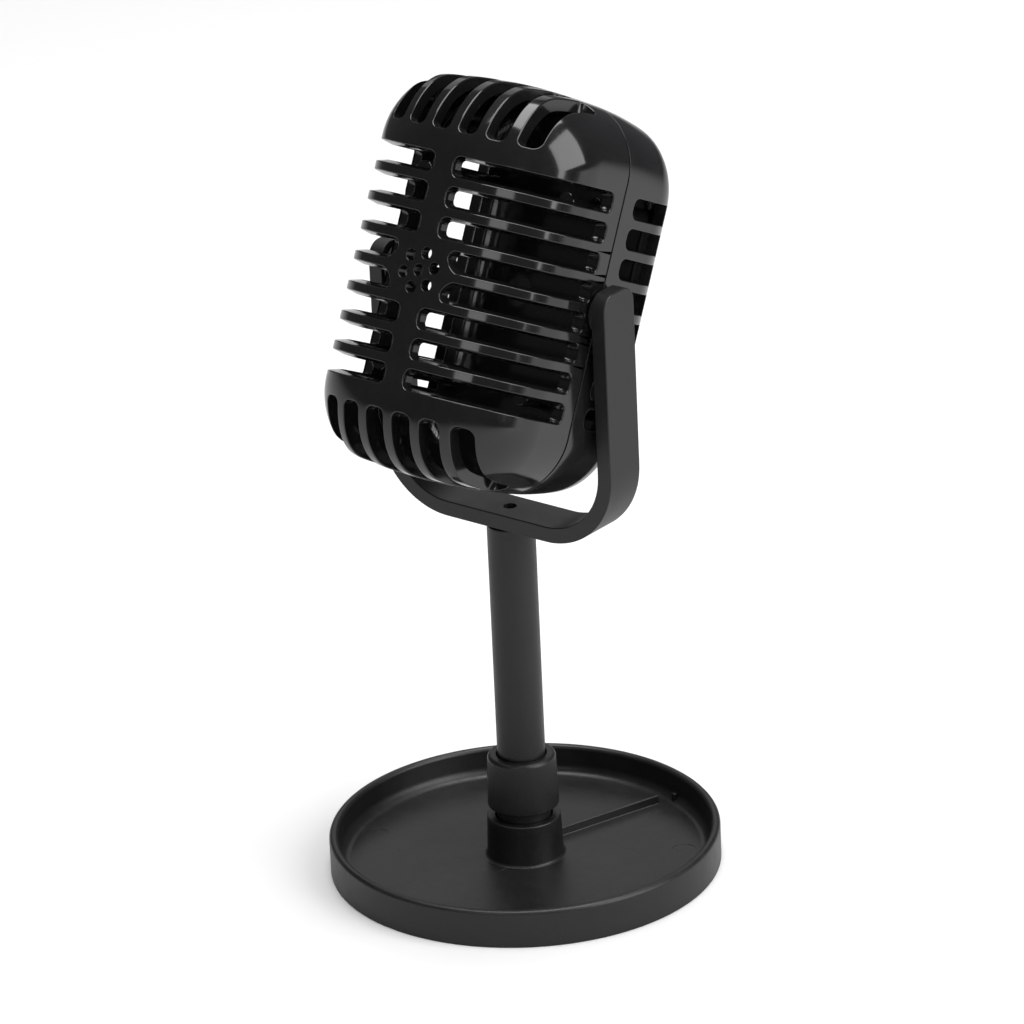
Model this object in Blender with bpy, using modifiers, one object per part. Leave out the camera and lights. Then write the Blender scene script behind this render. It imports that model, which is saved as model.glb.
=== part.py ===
"""Toy stage microphone on a dish base.

A two-shell slotted head tilts between the arms of a U-shaped yoke. The yoke is
screwed to a round pole, the pole stands in a collar, and the collar's spigot
turns in the socket of a shallow dish base.

Metres, +Z up. Origin: centre of the base's underside. The head faces -Y, the
yoke spans X, and the head leans back by HEAD_TILT about its pivots.
"""

import math
from collections import namedtuple

import bmesh
import bpy
from mathutils import Matrix, Vector

MM = 0.001
X, Y, Z = range(3)

# ---- driving dimensions, in millimetres (_R is a radius) ---------------------
GAP = 0.3              # running clearance between neighbouring pieces

BASE_R = 54.7          # dish, at the foot of its wall
BASE_RIM_R = 54.65     # dish, at the rim
BASE_HEIGHT = 10.9
RIM_THICK = 2.5
FLOOR_THICK = 2.6
FLOOR_FILLET = 3.0
SOCKET_R = 10.2
SOCKET_TOP = 14.8
SEAT = 5.0             # bottom of the socket's bore
SPIGOT_R = 7.6         # the collar's lower stub, which turns in the socket
SCREW_RECESS_R = 4.9   # under the seat

RIB_AZIMUTH = 71.9     # degrees from +X towards +Y, for the rib and the nub
RIB_SIDE = 2.3         # how far the rib's middle runs beside the base's radius
RIB_HALF = 0.5
RIB_END = 47.3
RIB_HEIGHT = 2.4       # above the floor
NUB_HALF = 0.9
NUB_START = 50.4
NUB_HEIGHT = 2.6
RIB_SUNK = 0.8         # how far both reach down into the floor

COLLAR_R = 9.7
COLLAR_BOTTOM = 18.0
COLLAR_TOP = 33.3
COLLAR_EDGE_R = 2.0
COLLAR_BORE_R = 1.6    # for the swivel screw
POLE_R = 6.7
POLE_BORE_R = 4.7
POLE_FOOT = 20.3
POLE_EDGE = 0.4        # chamfer at both ends
PLUG_DEPTH = 18.0      # the plug's lower end, below the yoke

YOKE_BOTTOM = 103.2    # underside of the strip
YOKE_HALF = 40.15      # outer half width
YOKE_THICK = 4.5
YOKE_WIDTH = 13.2      # width of the strip, along Y
YOKE_R = 23.3          # outer corner
YOKE_TOP = 178.8
YOKE_END_R = 3.8
ARM_INNER = YOKE_HALF - YOKE_THICK

PIVOT_Z = 171.6
PIVOT_R = 2.4
FLANGE_R = 4.6
FLANGE_THICK = 1.4
PIVOT_WASHER_R = 6.0
HEAD_TILT = 25.8       # degrees, leaning back

HEAD_HALF_WIDTH = 33.85    # at the parting line
HEAD_HALF_HEIGHT = 51.1    # at the corners, before the crown
HEAD_CROWN = 3.6           # rise of the top and bottom towards the middle
CROWN_FULL_HEIGHT = 45.0   # half height below which the crown fades
TALLEST_DEPTH = -8.0       # y at which the head is tallest
HEIGHT_FALLOFF = 260.0     # half height drops by (y - TALLEST_DEPTH)^2 over this
FRONT_TAPER = 0.35         # half width lost from the parting line to the front
HEAD_FRONT = -38.1
HEAD_PART = -1.15
HEAD_BACK = 28.2
HEAD_CORNER_R = 15.7       # at full half width
SMALL_CORNER_R = 9.6       # at SMALL_HALF_WIDTH
SMALL_HALF_WIDTH = 10.0
FRONT_PLAN_R = 23.5
FRONT_EDGE_R = 16.8
BACK_PLAN_R = 12.6
BACK_EDGE_DEPTH = 9.4
BACK_EDGE_DROP = 18.5
WALL = 3.2
CORNER_SEGMENTS = 5
TOP_SEGMENTS = 4           # from a corner to the middle

SLOT_ROWS = 8
PITCH = 8.25               # side slots, centre to centre
SLOT_HALF = 2.84
SLOT_R = 2.1
COLUMN_HALF = 3.15         # solid column between the front side slots
CLUSTER_HALF = 8.4         # the same, beside the hole cluster
CLUSTER_ROWS = {3: -1, 4: 1}   # row: Z side of its corner nearest the cluster
CLUSTER_CUT = 3.4          # bevel of that corner
SIDE_END = -5.85           # front shell's side slots stop here
BACK_START = 4.3           # rear shell's side slots start here
BACK_END = 21.9            # and stop here, at a flat face square to the sides
BACK_SLOT_INNER = 20.0
TOP_COLUMNS = 6
TOP_PITCH = 8.8
TOP_HALF = 2.95
TOP_START = 38.1
TOP_END = -9.4
HOLE_R = 1.62
HOLE_RING_R = 5.0
HOLE_RING_START = 15       # degrees
HOLE_RING_COUNT = 6

# slot cutters reach out to these, beyond the shells
CUT_FRONT = -50.0
CUT_SIDE = 45.0
CUT_TOP = 65.0

POST_X, POST_Z = 24.0, 26.5
CORNERS = [(side_x, side_z) for side_x in (-1, 1) for side_z in (-1, 1)]

# ---- materials ---------------------------------------------------------------
Look = namedtuple("Look", "name colour roughness metallic", defaults=[0.0])

GLOSS = Look("gloss black plastic", colour=(0.012, 0.012, 0.013), roughness=0.12)
SATIN = Look("satin black plastic", colour=(0.022, 0.022, 0.023), roughness=0.38)
BASE_BLACK = Look("base black plastic", colour=(0.020, 0.020, 0.021), roughness=0.42)
NYLON = Look("natural nylon", colour=(0.08, 0.08, 0.08), roughness=0.5)
STEEL = Look("zinc plated steel", colour=(0.55, 0.55, 0.56), roughness=0.35, metallic=1.0)


def make_material(look, owner):
    """Each part has its own material, named after the look and the part."""
    mat = bpy.data.materials.new(f"{look.name} ({owner})")
    mat.use_nodes = True
    shader = mat.node_tree.nodes["Principled BSDF"]
    shader.inputs["Base Color"].default_value = (*look.colour, 1.0)
    shader.inputs["Roughness"].default_value = look.roughness
    shader.inputs["Metallic"].default_value = look.metallic
    return mat


# ---- scene -------------------------------------------------------------------
for old in list(bpy.data.objects):
    bpy.data.objects.remove(old, do_unlink=True)

PARTS = bpy.data.collections.new("toy_microphone")
CUTTERS = bpy.data.collections.new("cutters")
for made in (PARTS, CUTTERS):
    bpy.context.scene.collection.children.link(made)


def add_part(obj, look, parent=None, sharp_angle=40.0):
    PARTS.objects.link(obj)
    obj.data.materials.append(make_material(look, obj.name))
    obj.data.shade_smooth()
    obj.data.set_sharp_from_angle(angle=math.radians(sharp_angle))
    obj.parent = parent
    return obj


def add_cutter(obj, parent=None):
    """A hidden helper for the booleans, whether it cuts or adds."""
    CUTTERS.objects.link(obj)
    obj.hide_render = True
    obj.display_type = "WIRE"
    obj.parent = parent
    return obj


def add_axis(name):
    axis = bpy.data.objects.new(name, None)
    PARTS.objects.link(axis)
    return axis


# ---- mesh helpers ------------------------------------------------------------
def from_bmesh(bm, name):
    bmesh.ops.recalc_face_normals(bm, faces=bm.faces)
    mesh = bpy.data.meshes.new(name)
    bm.to_mesh(mesh)
    bm.free()
    return bpy.data.objects.new(name, mesh)


def to_bmesh(obj):
    """The object as its modifiers leave it, welded; the object is removed."""
    bpy.context.scene.collection.objects.link(obj)
    bpy.context.view_layer.update()
    graph = bpy.context.evaluated_depsgraph_get()
    mesh = bpy.data.meshes.new_from_object(obj.evaluated_get(graph))
    bm = bmesh.new()
    bm.from_mesh(mesh)
    bmesh.ops.remove_doubles(bm, verts=bm.verts, dist=0.000002)
    bpy.data.objects.remove(obj, do_unlink=True)
    return bm


def arc(centre_x, centre_z, radius, start, end, count):
    """Points of an arc, angles in degrees from the first axis to the second."""
    angles = [math.radians(start + (end - start) * i / count) for i in range(count + 1)]
    return [(centre_x + radius * math.cos(angle), centre_z + radius * math.sin(angle))
            for angle in angles]


def revolve(name, profile, steps):
    """A Screw about Z of (radius, z) points that run down the outer side. When
    neither end is on the axis the profile is closed into a ring."""
    mesh = bpy.data.meshes.new(name)
    points = [(radius * MM, 0.0, z * MM) for radius, z in profile]
    edges = [(i, i + 1) for i in range(len(points) - 1)]
    if profile[0][0] > 0:
        edges.append((len(points) - 1, 0))
    mesh.from_pydata(points, edges, [])
    obj = bpy.data.objects.new(name, mesh)
    mod = obj.modifiers.new("turn", "SCREW")
    mod.steps = mod.render_steps = steps
    mod.use_merge_vertices = True
    mod.merge_threshold = 0.00001
    mod.use_smooth_shade = True
    return obj


def turned(name, profile, look, steps, parent, at=(0, 0, 0)):
    obj = revolve(name, profile, steps)
    obj.location = Vector(at) * MM
    return add_part(obj, look, parent)


def extruded(name, points, thick, matrix):
    """A closed XY outline extruded both ways to a thickness, then placed."""
    curve = bpy.data.curves.new(name, "CURVE")
    curve.dimensions = "2D"
    curve.fill_mode = "BOTH"
    curve.extrude = thick / 2 * MM
    line = curve.splines.new("POLY")
    line.points.add(len(points) - 1)
    for point, (x, y) in zip(line.points, points):
        point.co = (x * MM, y * MM, 0.0, 1.0)
    line.use_cyclic_u = True
    bm = to_bmesh(bpy.data.objects.new("outline_" + name, curve))
    bm.transform(matrix)
    return from_bmesh(bm, name)


def boolean(obj, other, operation="DIFFERENCE"):
    mod = obj.modifiers.new(operation.lower(), "BOOLEAN")
    mod.operation = operation
    mod.object = other
    mod.solver = "EXACT"


def bevel(bm, edges, radius, profile=0.5):
    bmesh.ops.bevel(bm, geom=edges, offset=radius * MM, offset_type="OFFSET",
                    segments=2, profile=profile, affect="EDGES")


def edge_pair(axis, fixed, other):
    """Names a box's two edges along an axis that lie on the fixed side, one at
    each side of the other axis."""
    return [(axis, {**fixed, other: side}) for side in (1, -1)]


def add_box(bm, corner, opposite, rounded=()):
    """A box between two corners, in mm. rounded names edges as
    (axis, {axis: side}), side -1 or +1, and those edges get SLOT_R."""
    verts = bmesh.ops.create_cube(bm, size=1.0)["verts"]
    spans = [sorted(pair) for pair in zip(corner, opposite)]
    centre = [(low + high) / 2 for low, high in spans]
    size = [high - low for low, high in spans]
    for vert in verts:
        vert.co = Vector([(centre[i] + vert.co[i] * size[i]) * MM for i in range(3)])
    wanted = []
    for edge in {edge for vert in verts for edge in vert.link_edges}:
        start, end = (vert.co for vert in edge.verts)
        along = max(range(3), key=lambda i: abs(start[i] - end[i]))
        middle = (start + end) / 2 / MM
        for axis, sides in rounded:
            if axis == along and all((middle[k] - centre[k]) * side > 0
                                     for k, side in sides.items()):
                wanted.append(edge)
    if wanted:
        bevel(bm, wanted, SLOT_R)


def add_cylinder(bm, radius, start, end, segments):
    """A closed cylinder between two points in mm."""
    low, high = Vector(start) * MM, Vector(end) * MM
    turn = (high - low).to_track_quat("Z", "Y").to_matrix().to_4x4()
    bmesh.ops.create_cone(bm, cap_ends=True, segments=segments, radius1=radius * MM,
                          radius2=radius * MM, depth=(high - low).length,
                          matrix=Matrix.Translation((low + high) / 2) @ turn)


def box_cutter(name, boxes, parent=None):
    bm = bmesh.new()
    for corner, opposite in boxes:
        add_box(bm, corner, opposite)
    return add_cutter(from_bmesh(bm, name), parent)


def cylinder_cutter(name, radius, spans, segments=16, parent=None):
    bm = bmesh.new()
    for start, end in spans:
        add_cylinder(bm, radius, start, end, segments)
    return add_cutter(from_bmesh(bm, name), parent)


# ---- base --------------------------------------------------------------------
def build_base():
    rim_r = RIM_THICK / 2
    rim_mid = BASE_RIM_R - rim_r
    rim_z = BASE_HEIGHT - rim_r
    wall_inner = BASE_RIM_R - RIM_THICK
    bore = SPIGOT_R + GAP
    recess_top = SEAT - 1.8
    profile = (
        # outer half of the rim, wall and foot
        arc(rim_mid, rim_z, rim_r, 90, 0, 3)
        + [(BASE_R, 0.35), (BASE_R - 0.35, 0.0)]
        # screw recess, screw hole and socket bore
        + [(SCREW_RECESS_R, 0.0), (SCREW_RECESS_R, recess_top), (1.8, recess_top)]
        + [(1.8, SEAT), (bore, SEAT), (bore, SOCKET_TOP - 0.4), (bore + 0.5, SOCKET_TOP)]
        # outside of the socket, down to the floor
        + [(SOCKET_R - 0.7, SOCKET_TOP), (SOCKET_R, SOCKET_TOP - 0.7)]
        + [(SOCKET_R + 0.1, FLOOR_THICK + 0.9), (SOCKET_R + 0.9, FLOOR_THICK)]
        # fillet up to the wall, and the inner half of the rim
        + arc(wall_inner - FLOOR_FILLET, FLOOR_THICK + FLOOR_FILLET, FLOOR_FILLET, -90, 0, 3)
        + arc(rim_mid, rim_z, rim_r, 180, 120, 2)
    )
    tray = from_bmesh(to_bmesh(revolve("tray_core", profile, steps=56)), "base_tray")
    add_part(tray, BASE_BLACK)

    # the rib from the socket nearly to the wall, and the small nub at the wall beyond it
    low = FLOOR_THICK - RIB_SUNK
    rib = box_cutter("cut_rib", [((SOCKET_R - 1.6, RIB_SIDE - RIB_HALF, low),
                                  (RIB_END, RIB_SIDE + RIB_HALF, FLOOR_THICK + RIB_HEIGHT))])
    nub = box_cutter("cut_nub", [((NUB_START, -NUB_HALF, low),
                                  (wall_inner + 0.9, NUB_HALF, FLOOR_THICK + NUB_HEIGHT))])
    for piece in (rib, nub):
        piece.rotation_euler.z = math.radians(RIB_AZIMUTH)
        boolean(tray, piece, "UNION")


# ---- stand: everything here turns in the base's socket -----------------------
def build_swivel(stand):
    """The screw, its pan head below the base's seat, and the washer above that head."""
    turned("swivel_screw",
           [(0, 12.0), (0.5, 11.7), (1.3, 10.6), (1.3, SEAT - 3.1),
            (2.8, SEAT - 3.1), (2.8, 1.1), (2.2, 0.5), (0, 0.4)],
           STEEL, steps=20, parent=stand)
    turned("swivel_washer",
           [(4.4, SEAT - 2.1), (4.4, SEAT - 2.8), (1.6, SEAT - 2.8), (1.6, SEAT - 2.1)],
           STEEL, steps=24, parent=stand)


def build_collar(stand):
    spigot_foot = SEAT + GAP
    pole_seat = POLE_FOOT - GAP
    pole_bore = POLE_R + GAP
    profile = (
        arc(COLLAR_R - 2.15, COLLAR_TOP - COLLAR_EDGE_R, COLLAR_EDGE_R, 90, 0, 4)
        + [(COLLAR_R + 0.3, COLLAR_BOTTOM + 0.4), (COLLAR_R - 0.1, COLLAR_BOTTOM)]
        + [(SPIGOT_R, COLLAR_BOTTOM), (SPIGOT_R, spigot_foot + 0.5)]
        + [(SPIGOT_R - 0.5, spigot_foot), (COLLAR_BORE_R, spigot_foot)]
        + [(COLLAR_BORE_R, 12.6), (1.0, 13.0), (1.0, pole_seat), (pole_bore, pole_seat)]
        + [(pole_bore, COLLAR_TOP - 0.3), (pole_bore + 0.3, COLLAR_TOP)]
    )
    turned("pole_collar", profile, SATIN, steps=32, parent=stand)


def build_pole(stand):
    top = YOKE_BOTTOM - GAP
    turned("pole_tube",
           [(POLE_R - POLE_EDGE, top), (POLE_R, top - POLE_EDGE),
            (POLE_R, POLE_FOOT + POLE_EDGE), (POLE_R - POLE_EDGE, POLE_FOOT),
            (POLE_BORE_R, POLE_FOOT), (POLE_BORE_R, top)],
           SATIN, steps=32, parent=stand)
    plug_r = POLE_BORE_R - GAP
    plug_foot = YOKE_BOTTOM - PLUG_DEPTH
    turned("pole_top_plug",
           [(plug_r, top), (plug_r, plug_foot), (1.3, plug_foot), (1.3, top)],
           NYLON, steps=20, parent=stand)
    # (radius, height above the yoke's underside)
    screw = [(0, 3.3), (0.9, 3.3), (1.45, 2.9), (1.45, 2.1),
             (1.0, 2.1), (1.0, -11.0), (0.3, -12.0), (0, -12.1)]
    turned("yoke_screw", [(radius, YOKE_BOTTOM + z) for radius, z in screw],
           STEEL, steps=20, parent=stand)


def yoke_line(inset):
    """One face of the yoke's strip as (x, z), from its left end round to its
    right, run 3 mm past the arms' tops."""
    half = YOKE_HALF - inset
    corner = YOKE_R - inset
    z = YOKE_BOTTOM + inset + corner
    top = YOKE_TOP + 3.0
    return ([(-half, top)] + arc(-half + corner, z, corner, 180, 270, 9)
            + arc(half - corner, z, corner, 270, 360, 9) + [(half, top)])


def build_yoke(stand):
    to_xz = Matrix.Rotation(math.radians(90), 4, "X")
    to_yz = Matrix(((0, 0, 1, 0), (1, 0, 0, 0), (0, 1, 0, 0), (0, 0, 0, 1)))
    outline = yoke_line(0.0) + yoke_line(YOKE_THICK)[::-1]
    yoke = add_part(extruded("yoke", outline, YOKE_WIDTH + 2.0, to_xz), SATIN, stand)

    # the strip's side faces, and the rounded ends of its arms, as (y, z)
    half = YOKE_WIDTH / 2
    end_z = YOKE_TOP - YOKE_END_R
    envelope = ([(-half, YOKE_BOTTOM - 5.0), (half, YOKE_BOTTOM - 5.0)]
                + arc(half - YOKE_END_R, end_z, YOKE_END_R, 0, 90, 4)
                + arc(-half + YOKE_END_R, end_z, YOKE_END_R, 90, 180, 4))
    boolean(yoke, add_cutter(extruded("cut_yoke_envelope", envelope,
                                      2 * YOKE_HALF + 10.0, to_yz)), "INTERSECT")

    boolean(yoke, cylinder_cutter(
        "cut_yoke_counterbore", 1.75,
        [((0, 0, YOKE_BOTTOM + 1.8), (0, 0, YOKE_BOTTOM + YOKE_THICK + 1.0))]))
    boolean(yoke, cylinder_cutter(
        "cut_yoke_bore", 1.3, [((0, 0, YOKE_BOTTOM - 1.0), (0, 0, YOKE_BOTTOM + 2.5))]))
    # blind holes in the arms' inner faces
    boolean(yoke, cylinder_cutter(
        "cut_arm_holes", PIVOT_R + GAP,
        [((side * (ARM_INNER - 1.0), 0, PIVOT_Z), (side * (ARM_INNER + 3.0), 0, PIVOT_Z))
         for side in (-1, 1)]))


def build_pivots(stand):
    """Pins fixed in the arms and flanged inside the head, and washers between
    arms and head. Profile heights are distances from the head's middle."""
    at = (0, 0, PIVOT_Z)
    tip = ARM_INNER + 2.7
    flange = HEAD_HALF_WIDTH - WALL - GAP - 0.25
    washer_outer = ARM_INNER - GAP
    washer_inner = HEAD_HALF_WIDTH + 0.4
    washer_bore = PIVOT_R + GAP
    for name, side in (("left", -1), ("right", 1)):
        pin = turned(f"pivot_pin_{name}",
                     [(0, tip), (PIVOT_R - 0.3, tip), (PIVOT_R, ARM_INNER + 2.4),
                      (PIVOT_R, flange), (FLANGE_R - 0.2, flange), (FLANGE_R, flange - 0.2),
                      (FLANGE_R, flange - FLANGE_THICK), (0, flange - FLANGE_THICK)],
                     STEEL, steps=20, parent=stand, at=at)
        washer = turned(f"pivot_washer_{name}",
                        [(PIVOT_WASHER_R, washer_outer), (PIVOT_WASHER_R, washer_inner),
                         (washer_bore, washer_inner), (washer_bore, washer_outer)],
                        NYLON, steps=24, parent=stand, at=at)
        for piece in (pin, washer):
            piece.rotation_euler.y = side * math.pi / 2


# ---- head form, upright about its pivot --------------------------------------
def edge_inset(depth, reach, drop):
    """How far an elliptical edge, reach deep and drop high, lies inside the
    full outline at a depth behind its outermost face."""
    if depth >= reach:
        return 0.0
    return drop * (1 - math.sqrt(max(0.0, 1 - (1 - depth / reach) ** 2)))


def section_size(y):
    """Half width, half height and corner radius of the head at a depth y."""
    width = HEAD_HALF_WIDTH
    height = HEAD_HALF_HEIGHT - (y - TALLEST_DEPTH) ** 2 / HEIGHT_FALLOFF
    if y < HEAD_PART:
        depth = y - HEAD_FRONT
        width -= FRONT_TAPER * (HEAD_PART - y) / (HEAD_PART - HEAD_FRONT)
        width -= edge_inset(depth, FRONT_PLAN_R, FRONT_PLAN_R)
        height -= edge_inset(depth, FRONT_EDGE_R, FRONT_EDGE_R)
    else:
        depth = HEAD_BACK - y
        width -= edge_inset(depth, BACK_PLAN_R, BACK_PLAN_R)
        height -= edge_inset(depth, BACK_EDGE_DEPTH, BACK_EDGE_DROP)
    share = max(0.0, (width - SMALL_HALF_WIDTH) / (HEAD_HALF_WIDTH - SMALL_HALF_WIDTH))
    return width, height, SMALL_CORNER_R + (HEAD_CORNER_R - SMALL_CORNER_R) * share


def section(y):
    """The head's outline at a depth y: a rounded rectangle whose top and bottom
    rise towards the middle."""
    width, height, corner = section_size(y)
    half = arc(width - corner, height - corner, corner, 0, 90, CORNER_SEGMENTS)
    half += [((width - corner) * (1 - k / TOP_SEGMENTS), height)
             for k in range(1, TOP_SEGMENTS)]
    half += [(0.0, height)] + [(-x, z) for x, z in reversed(half)]
    ring = half + [(-x, -z) for x, z in half]
    crown = HEAD_CROWN * min(1.0, height / CROWN_FULL_HEIGHT)
    return [(x, z + (z / height) * crown * math.cos(math.pi / 2 * min(1.0, abs(x) / width)))
            for x, z in ring]


def loft(name, depths):
    """An open skin through the outlines at the given depths, closed over its
    first one."""
    bm = bmesh.new()
    rings = [[bm.verts.new((x * MM, y * MM, z * MM)) for x, z in section(y)] for y in depths]
    for one, two in zip(rings, rings[1:]):
        for i in range(len(one)):
            j = (i + 1) % len(one)
            bm.faces.new((one[i], one[j], two[j], two[i]))
    bm.faces.new(rings[0])
    return from_bmesh(bm, name)


def ease(start, stop, count):
    """Depths from start to stop, packed closely near start as on a round edge."""
    return [start + (stop - start) * (1 - math.cos(math.pi / 2 * i / count))
            for i in range(count + 1)]


FRONT_DEPTHS = ease(HEAD_FRONT, HEAD_FRONT + FRONT_PLAN_R, 6) + [HEAD_PART - GAP / 2]
# runs past the parting line, where it is trimmed flat
BACK_DEPTHS = ease(HEAD_BACK, HEAD_BACK - BACK_PLAN_R, 5) + [HEAD_PART - 1.0]


def build_shell(name, depths, head):
    obj = loft(name, depths)
    mod = obj.modifiers.new("wall", "SOLIDIFY")
    mod.thickness = WALL * MM
    mod.offset = -1.0
    mod.use_even_offset = True
    mod.use_rim = True
    return add_part(obj, GLOSS, head, sharp_angle=35)


def rods(name, radius, low, high, segments, head):
    """One rod at each corner post's place, from depth low to depth high."""
    spans = [((side_x * POST_X, low, side_z * POST_Z), (side_x * POST_X, high, side_z * POST_Z))
             for side_x, side_z in CORNERS]
    return cylinder_cutter(name, radius, spans, segments, head)


def slot_places():
    """Row number, side and middle height of every side slot, top row first."""
    for row in range(SLOT_ROWS):
        for side in (-1, 1):
            yield row, side, ((SLOT_ROWS - 1) / 2 - row) * PITCH


# ---- front shell -------------------------------------------------------------
def add_front_side_slot(bm, row, side, z):
    """Rounded towards the parting line and the middle column. Slots next to the
    hole cluster start further out and have their corner by it bevelled."""
    cut_side = CLUSTER_ROWS.get(row)
    inner = CLUSTER_HALF if cut_side else COLUMN_HALF
    rounded = edge_pair(X, {Y: 1}, Z)
    if cut_side:
        rounded.append((Y, {X: -side, Z: -cut_side}))
    else:
        rounded += edge_pair(Y, {X: -side}, Z)
    slot = bmesh.new()
    add_box(slot, (side * inner, CUT_FRONT, z - SLOT_HALF),
            (side * CUT_SIDE, SIDE_END, z + SLOT_HALF), rounded)
    if cut_side:
        edge_x = side * inner * MM
        edge_z = (z + cut_side * SLOT_HALF) * MM
        corner = [edge for edge in slot.edges
                  if all(abs(vert.co.x - edge_x) < 1e-6 and abs(vert.co.z - edge_z) < 1e-6
                         for vert in edge.verts)]
        bevel(slot, corner, CLUSTER_CUT, profile=0.35)
    mesh = bpy.data.meshes.new("slot")
    slot.to_mesh(mesh)
    slot.free()
    bm.from_mesh(mesh)
    bpy.data.meshes.remove(mesh)


def front_slot_cutter(head):
    """Side slots, top and bottom slots, and the hole cluster."""
    bm = bmesh.new()
    for row, side, z in slot_places():
        add_front_side_slot(bm, row, side, z)
    for column in range(TOP_COLUMNS):
        x = (column - (TOP_COLUMNS - 1) / 2) * TOP_PITCH
        for side in (-1, 1):
            add_box(bm, (x - TOP_HALF, CUT_FRONT, side * TOP_START),
                    (x + TOP_HALF, TOP_END, side * CUT_TOP),
                    edge_pair(Z, {Y: 1}, X) + edge_pair(Y, {Z: -side}, X))
    turns = [math.radians(HOLE_RING_START + 360 // HOLE_RING_COUNT * k)
             for k in range(HOLE_RING_COUNT)]
    holes = [(HOLE_RING_R * math.cos(turn), HOLE_RING_R * math.sin(turn)) for turn in turns]
    for x, z in holes + [(0.0, 0.0)]:
        add_cylinder(bm, HOLE_R, (x, CUT_FRONT, z), (x, -25.0, z), segments=12)
    return add_cutter(from_bmesh(bm, "cut_front_slots"), head)


def build_front(head, pivot_bore):
    """The slotted front shell, with short screw bosses on webs."""
    front = build_shell("front_shell", FRONT_DEPTHS, head)
    boolean(front, front_slot_cutter(head))
    webs = [((side_x * POST_X, -5.4, side_z * POST_Z - 1.0),
             (side_x * 32.0, HEAD_PART - GAP - 0.6, side_z * POST_Z + 1.0))
            for side_x, side_z in CORNERS]
    boolean(front, box_cutter("cut_front_webs", webs, head), "UNION")
    boolean(front, rods("cut_front_posts", 2.6, -13.5, HEAD_PART - GAP - 0.5, 12, head), "UNION")
    boolean(front, rods("cut_pilot_holes", 1.4, -11.5, 2.0, 10, head))
    boolean(front, pivot_bore)


# ---- rear shell --------------------------------------------------------------
def rear_slot_cutter(head):
    """The trim at the parting line, and side slots that stop short of the back."""
    bm = bmesh.new()
    add_box(bm, (-60.0, -20.0, -70.0), (60.0, HEAD_PART + GAP / 2, 70.0))
    for _, side, z in slot_places():
        add_box(bm, (side * BACK_SLOT_INNER, BACK_START, z - SLOT_HALF),
                (side * CUT_SIDE, BACK_END, z + SLOT_HALF), edge_pair(X, {Y: -1}, Z))
    return add_cutter(from_bmesh(bm, "cut_rear_slots"), head)


def rear_form(head):
    """A closed body a little smaller than the rear's outer form, which trims
    the posts so that they end inside the wall."""
    obj = loft("cut_rear_form", BACK_DEPTHS)
    bm = bmesh.new()
    bm.from_mesh(obj.data)
    bmesh.ops.holes_fill(bm, edges=[edge for edge in bm.edges if edge.is_boundary], sides=0)
    bmesh.ops.recalc_face_normals(bm, faces=bm.faces)
    bmesh.ops.scale(bm, verts=bm.verts, vec=[0.985] * 3)
    bm.to_mesh(obj.data)
    bm.free()
    return add_cutter(obj, head)


def build_rear(head, pivot_bore):
    """The rear shell, with screw tubes and sunk screw holes."""
    rear = build_shell("rear_shell", BACK_DEPTHS, head)
    boolean(rear, rear_slot_cutter(head))
    posts = rods("cut_rear_posts", 3.0, HEAD_PART + 1.0, 32.0, 14, head)
    boolean(posts, rear_form(head), "INTERSECT")
    boolean(rear, posts, "UNION")
    boolean(rear, rods("cut_sunk_holes", 2.35, 8.0, 45.0, 14, head))
    boolean(rear, rods("cut_clearance_holes", 1.5, -3.0, 10.0, 10, head))
    boolean(rear, pivot_bore)


def build_shell_screws(head):
    """Sunk in the rear shell, biting the front shell's posts. Profile heights
    are depths along Y."""
    profile = [(0, 9.9), (1.3, 9.9), (2.1, 9.2), (2.1, 8.3),
               (1.1, 8.3), (1.1, -9.6), (0.3, -10.9), (0, -11.0)]
    for number, (side_x, side_z) in enumerate(((-1, 1), (1, 1), (-1, -1), (1, -1)), 1):
        screw = turned(f"shell_screw_{number}", profile, STEEL, steps=12, parent=head,
                       at=(side_x * POST_X, 0, side_z * POST_Z))
        screw.rotation_euler.x = -math.pi / 2


# ---- assembly ----------------------------------------------------------------
def build_stand():
    stand = add_axis("stand_axis")
    build_swivel(stand)
    build_collar(stand)
    build_pole(stand)
    build_yoke(stand)
    build_pivots(stand)


def build_head():
    head = add_axis("head_axis")
    head.location = (0, 0, PIVOT_Z * MM)
    head.rotation_euler.x = -math.radians(HEAD_TILT)
    # the pivot pins run through both shells' side walls
    pivot_bore = cylinder_cutter("cut_pivot_bore", PIVOT_R + GAP,
                                 [((-40.0, 0, 0), (40.0, 0, 0))], 20, head)
    build_front(head, pivot_bore)
    build_rear(head, pivot_bore)
    build_shell_screws(head)


build_base()
build_stand()
build_head()
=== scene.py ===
"""Looks of a toy microphone: a slotted head in a yoke, on a pole with a dish base.

Lengths are in millimetres until a mesh is made. Z is up, and the base stands on z = 0
with the pole on the Z axis. The front looks along -Y, and the left is -X. The head is
built upright about its pivot, then leaned back.
"""

import math

import bpy
import numpy as np
from mathutils import Matrix, Vector
from mathutils.geometry import delaunay_2d_cdt


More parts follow.
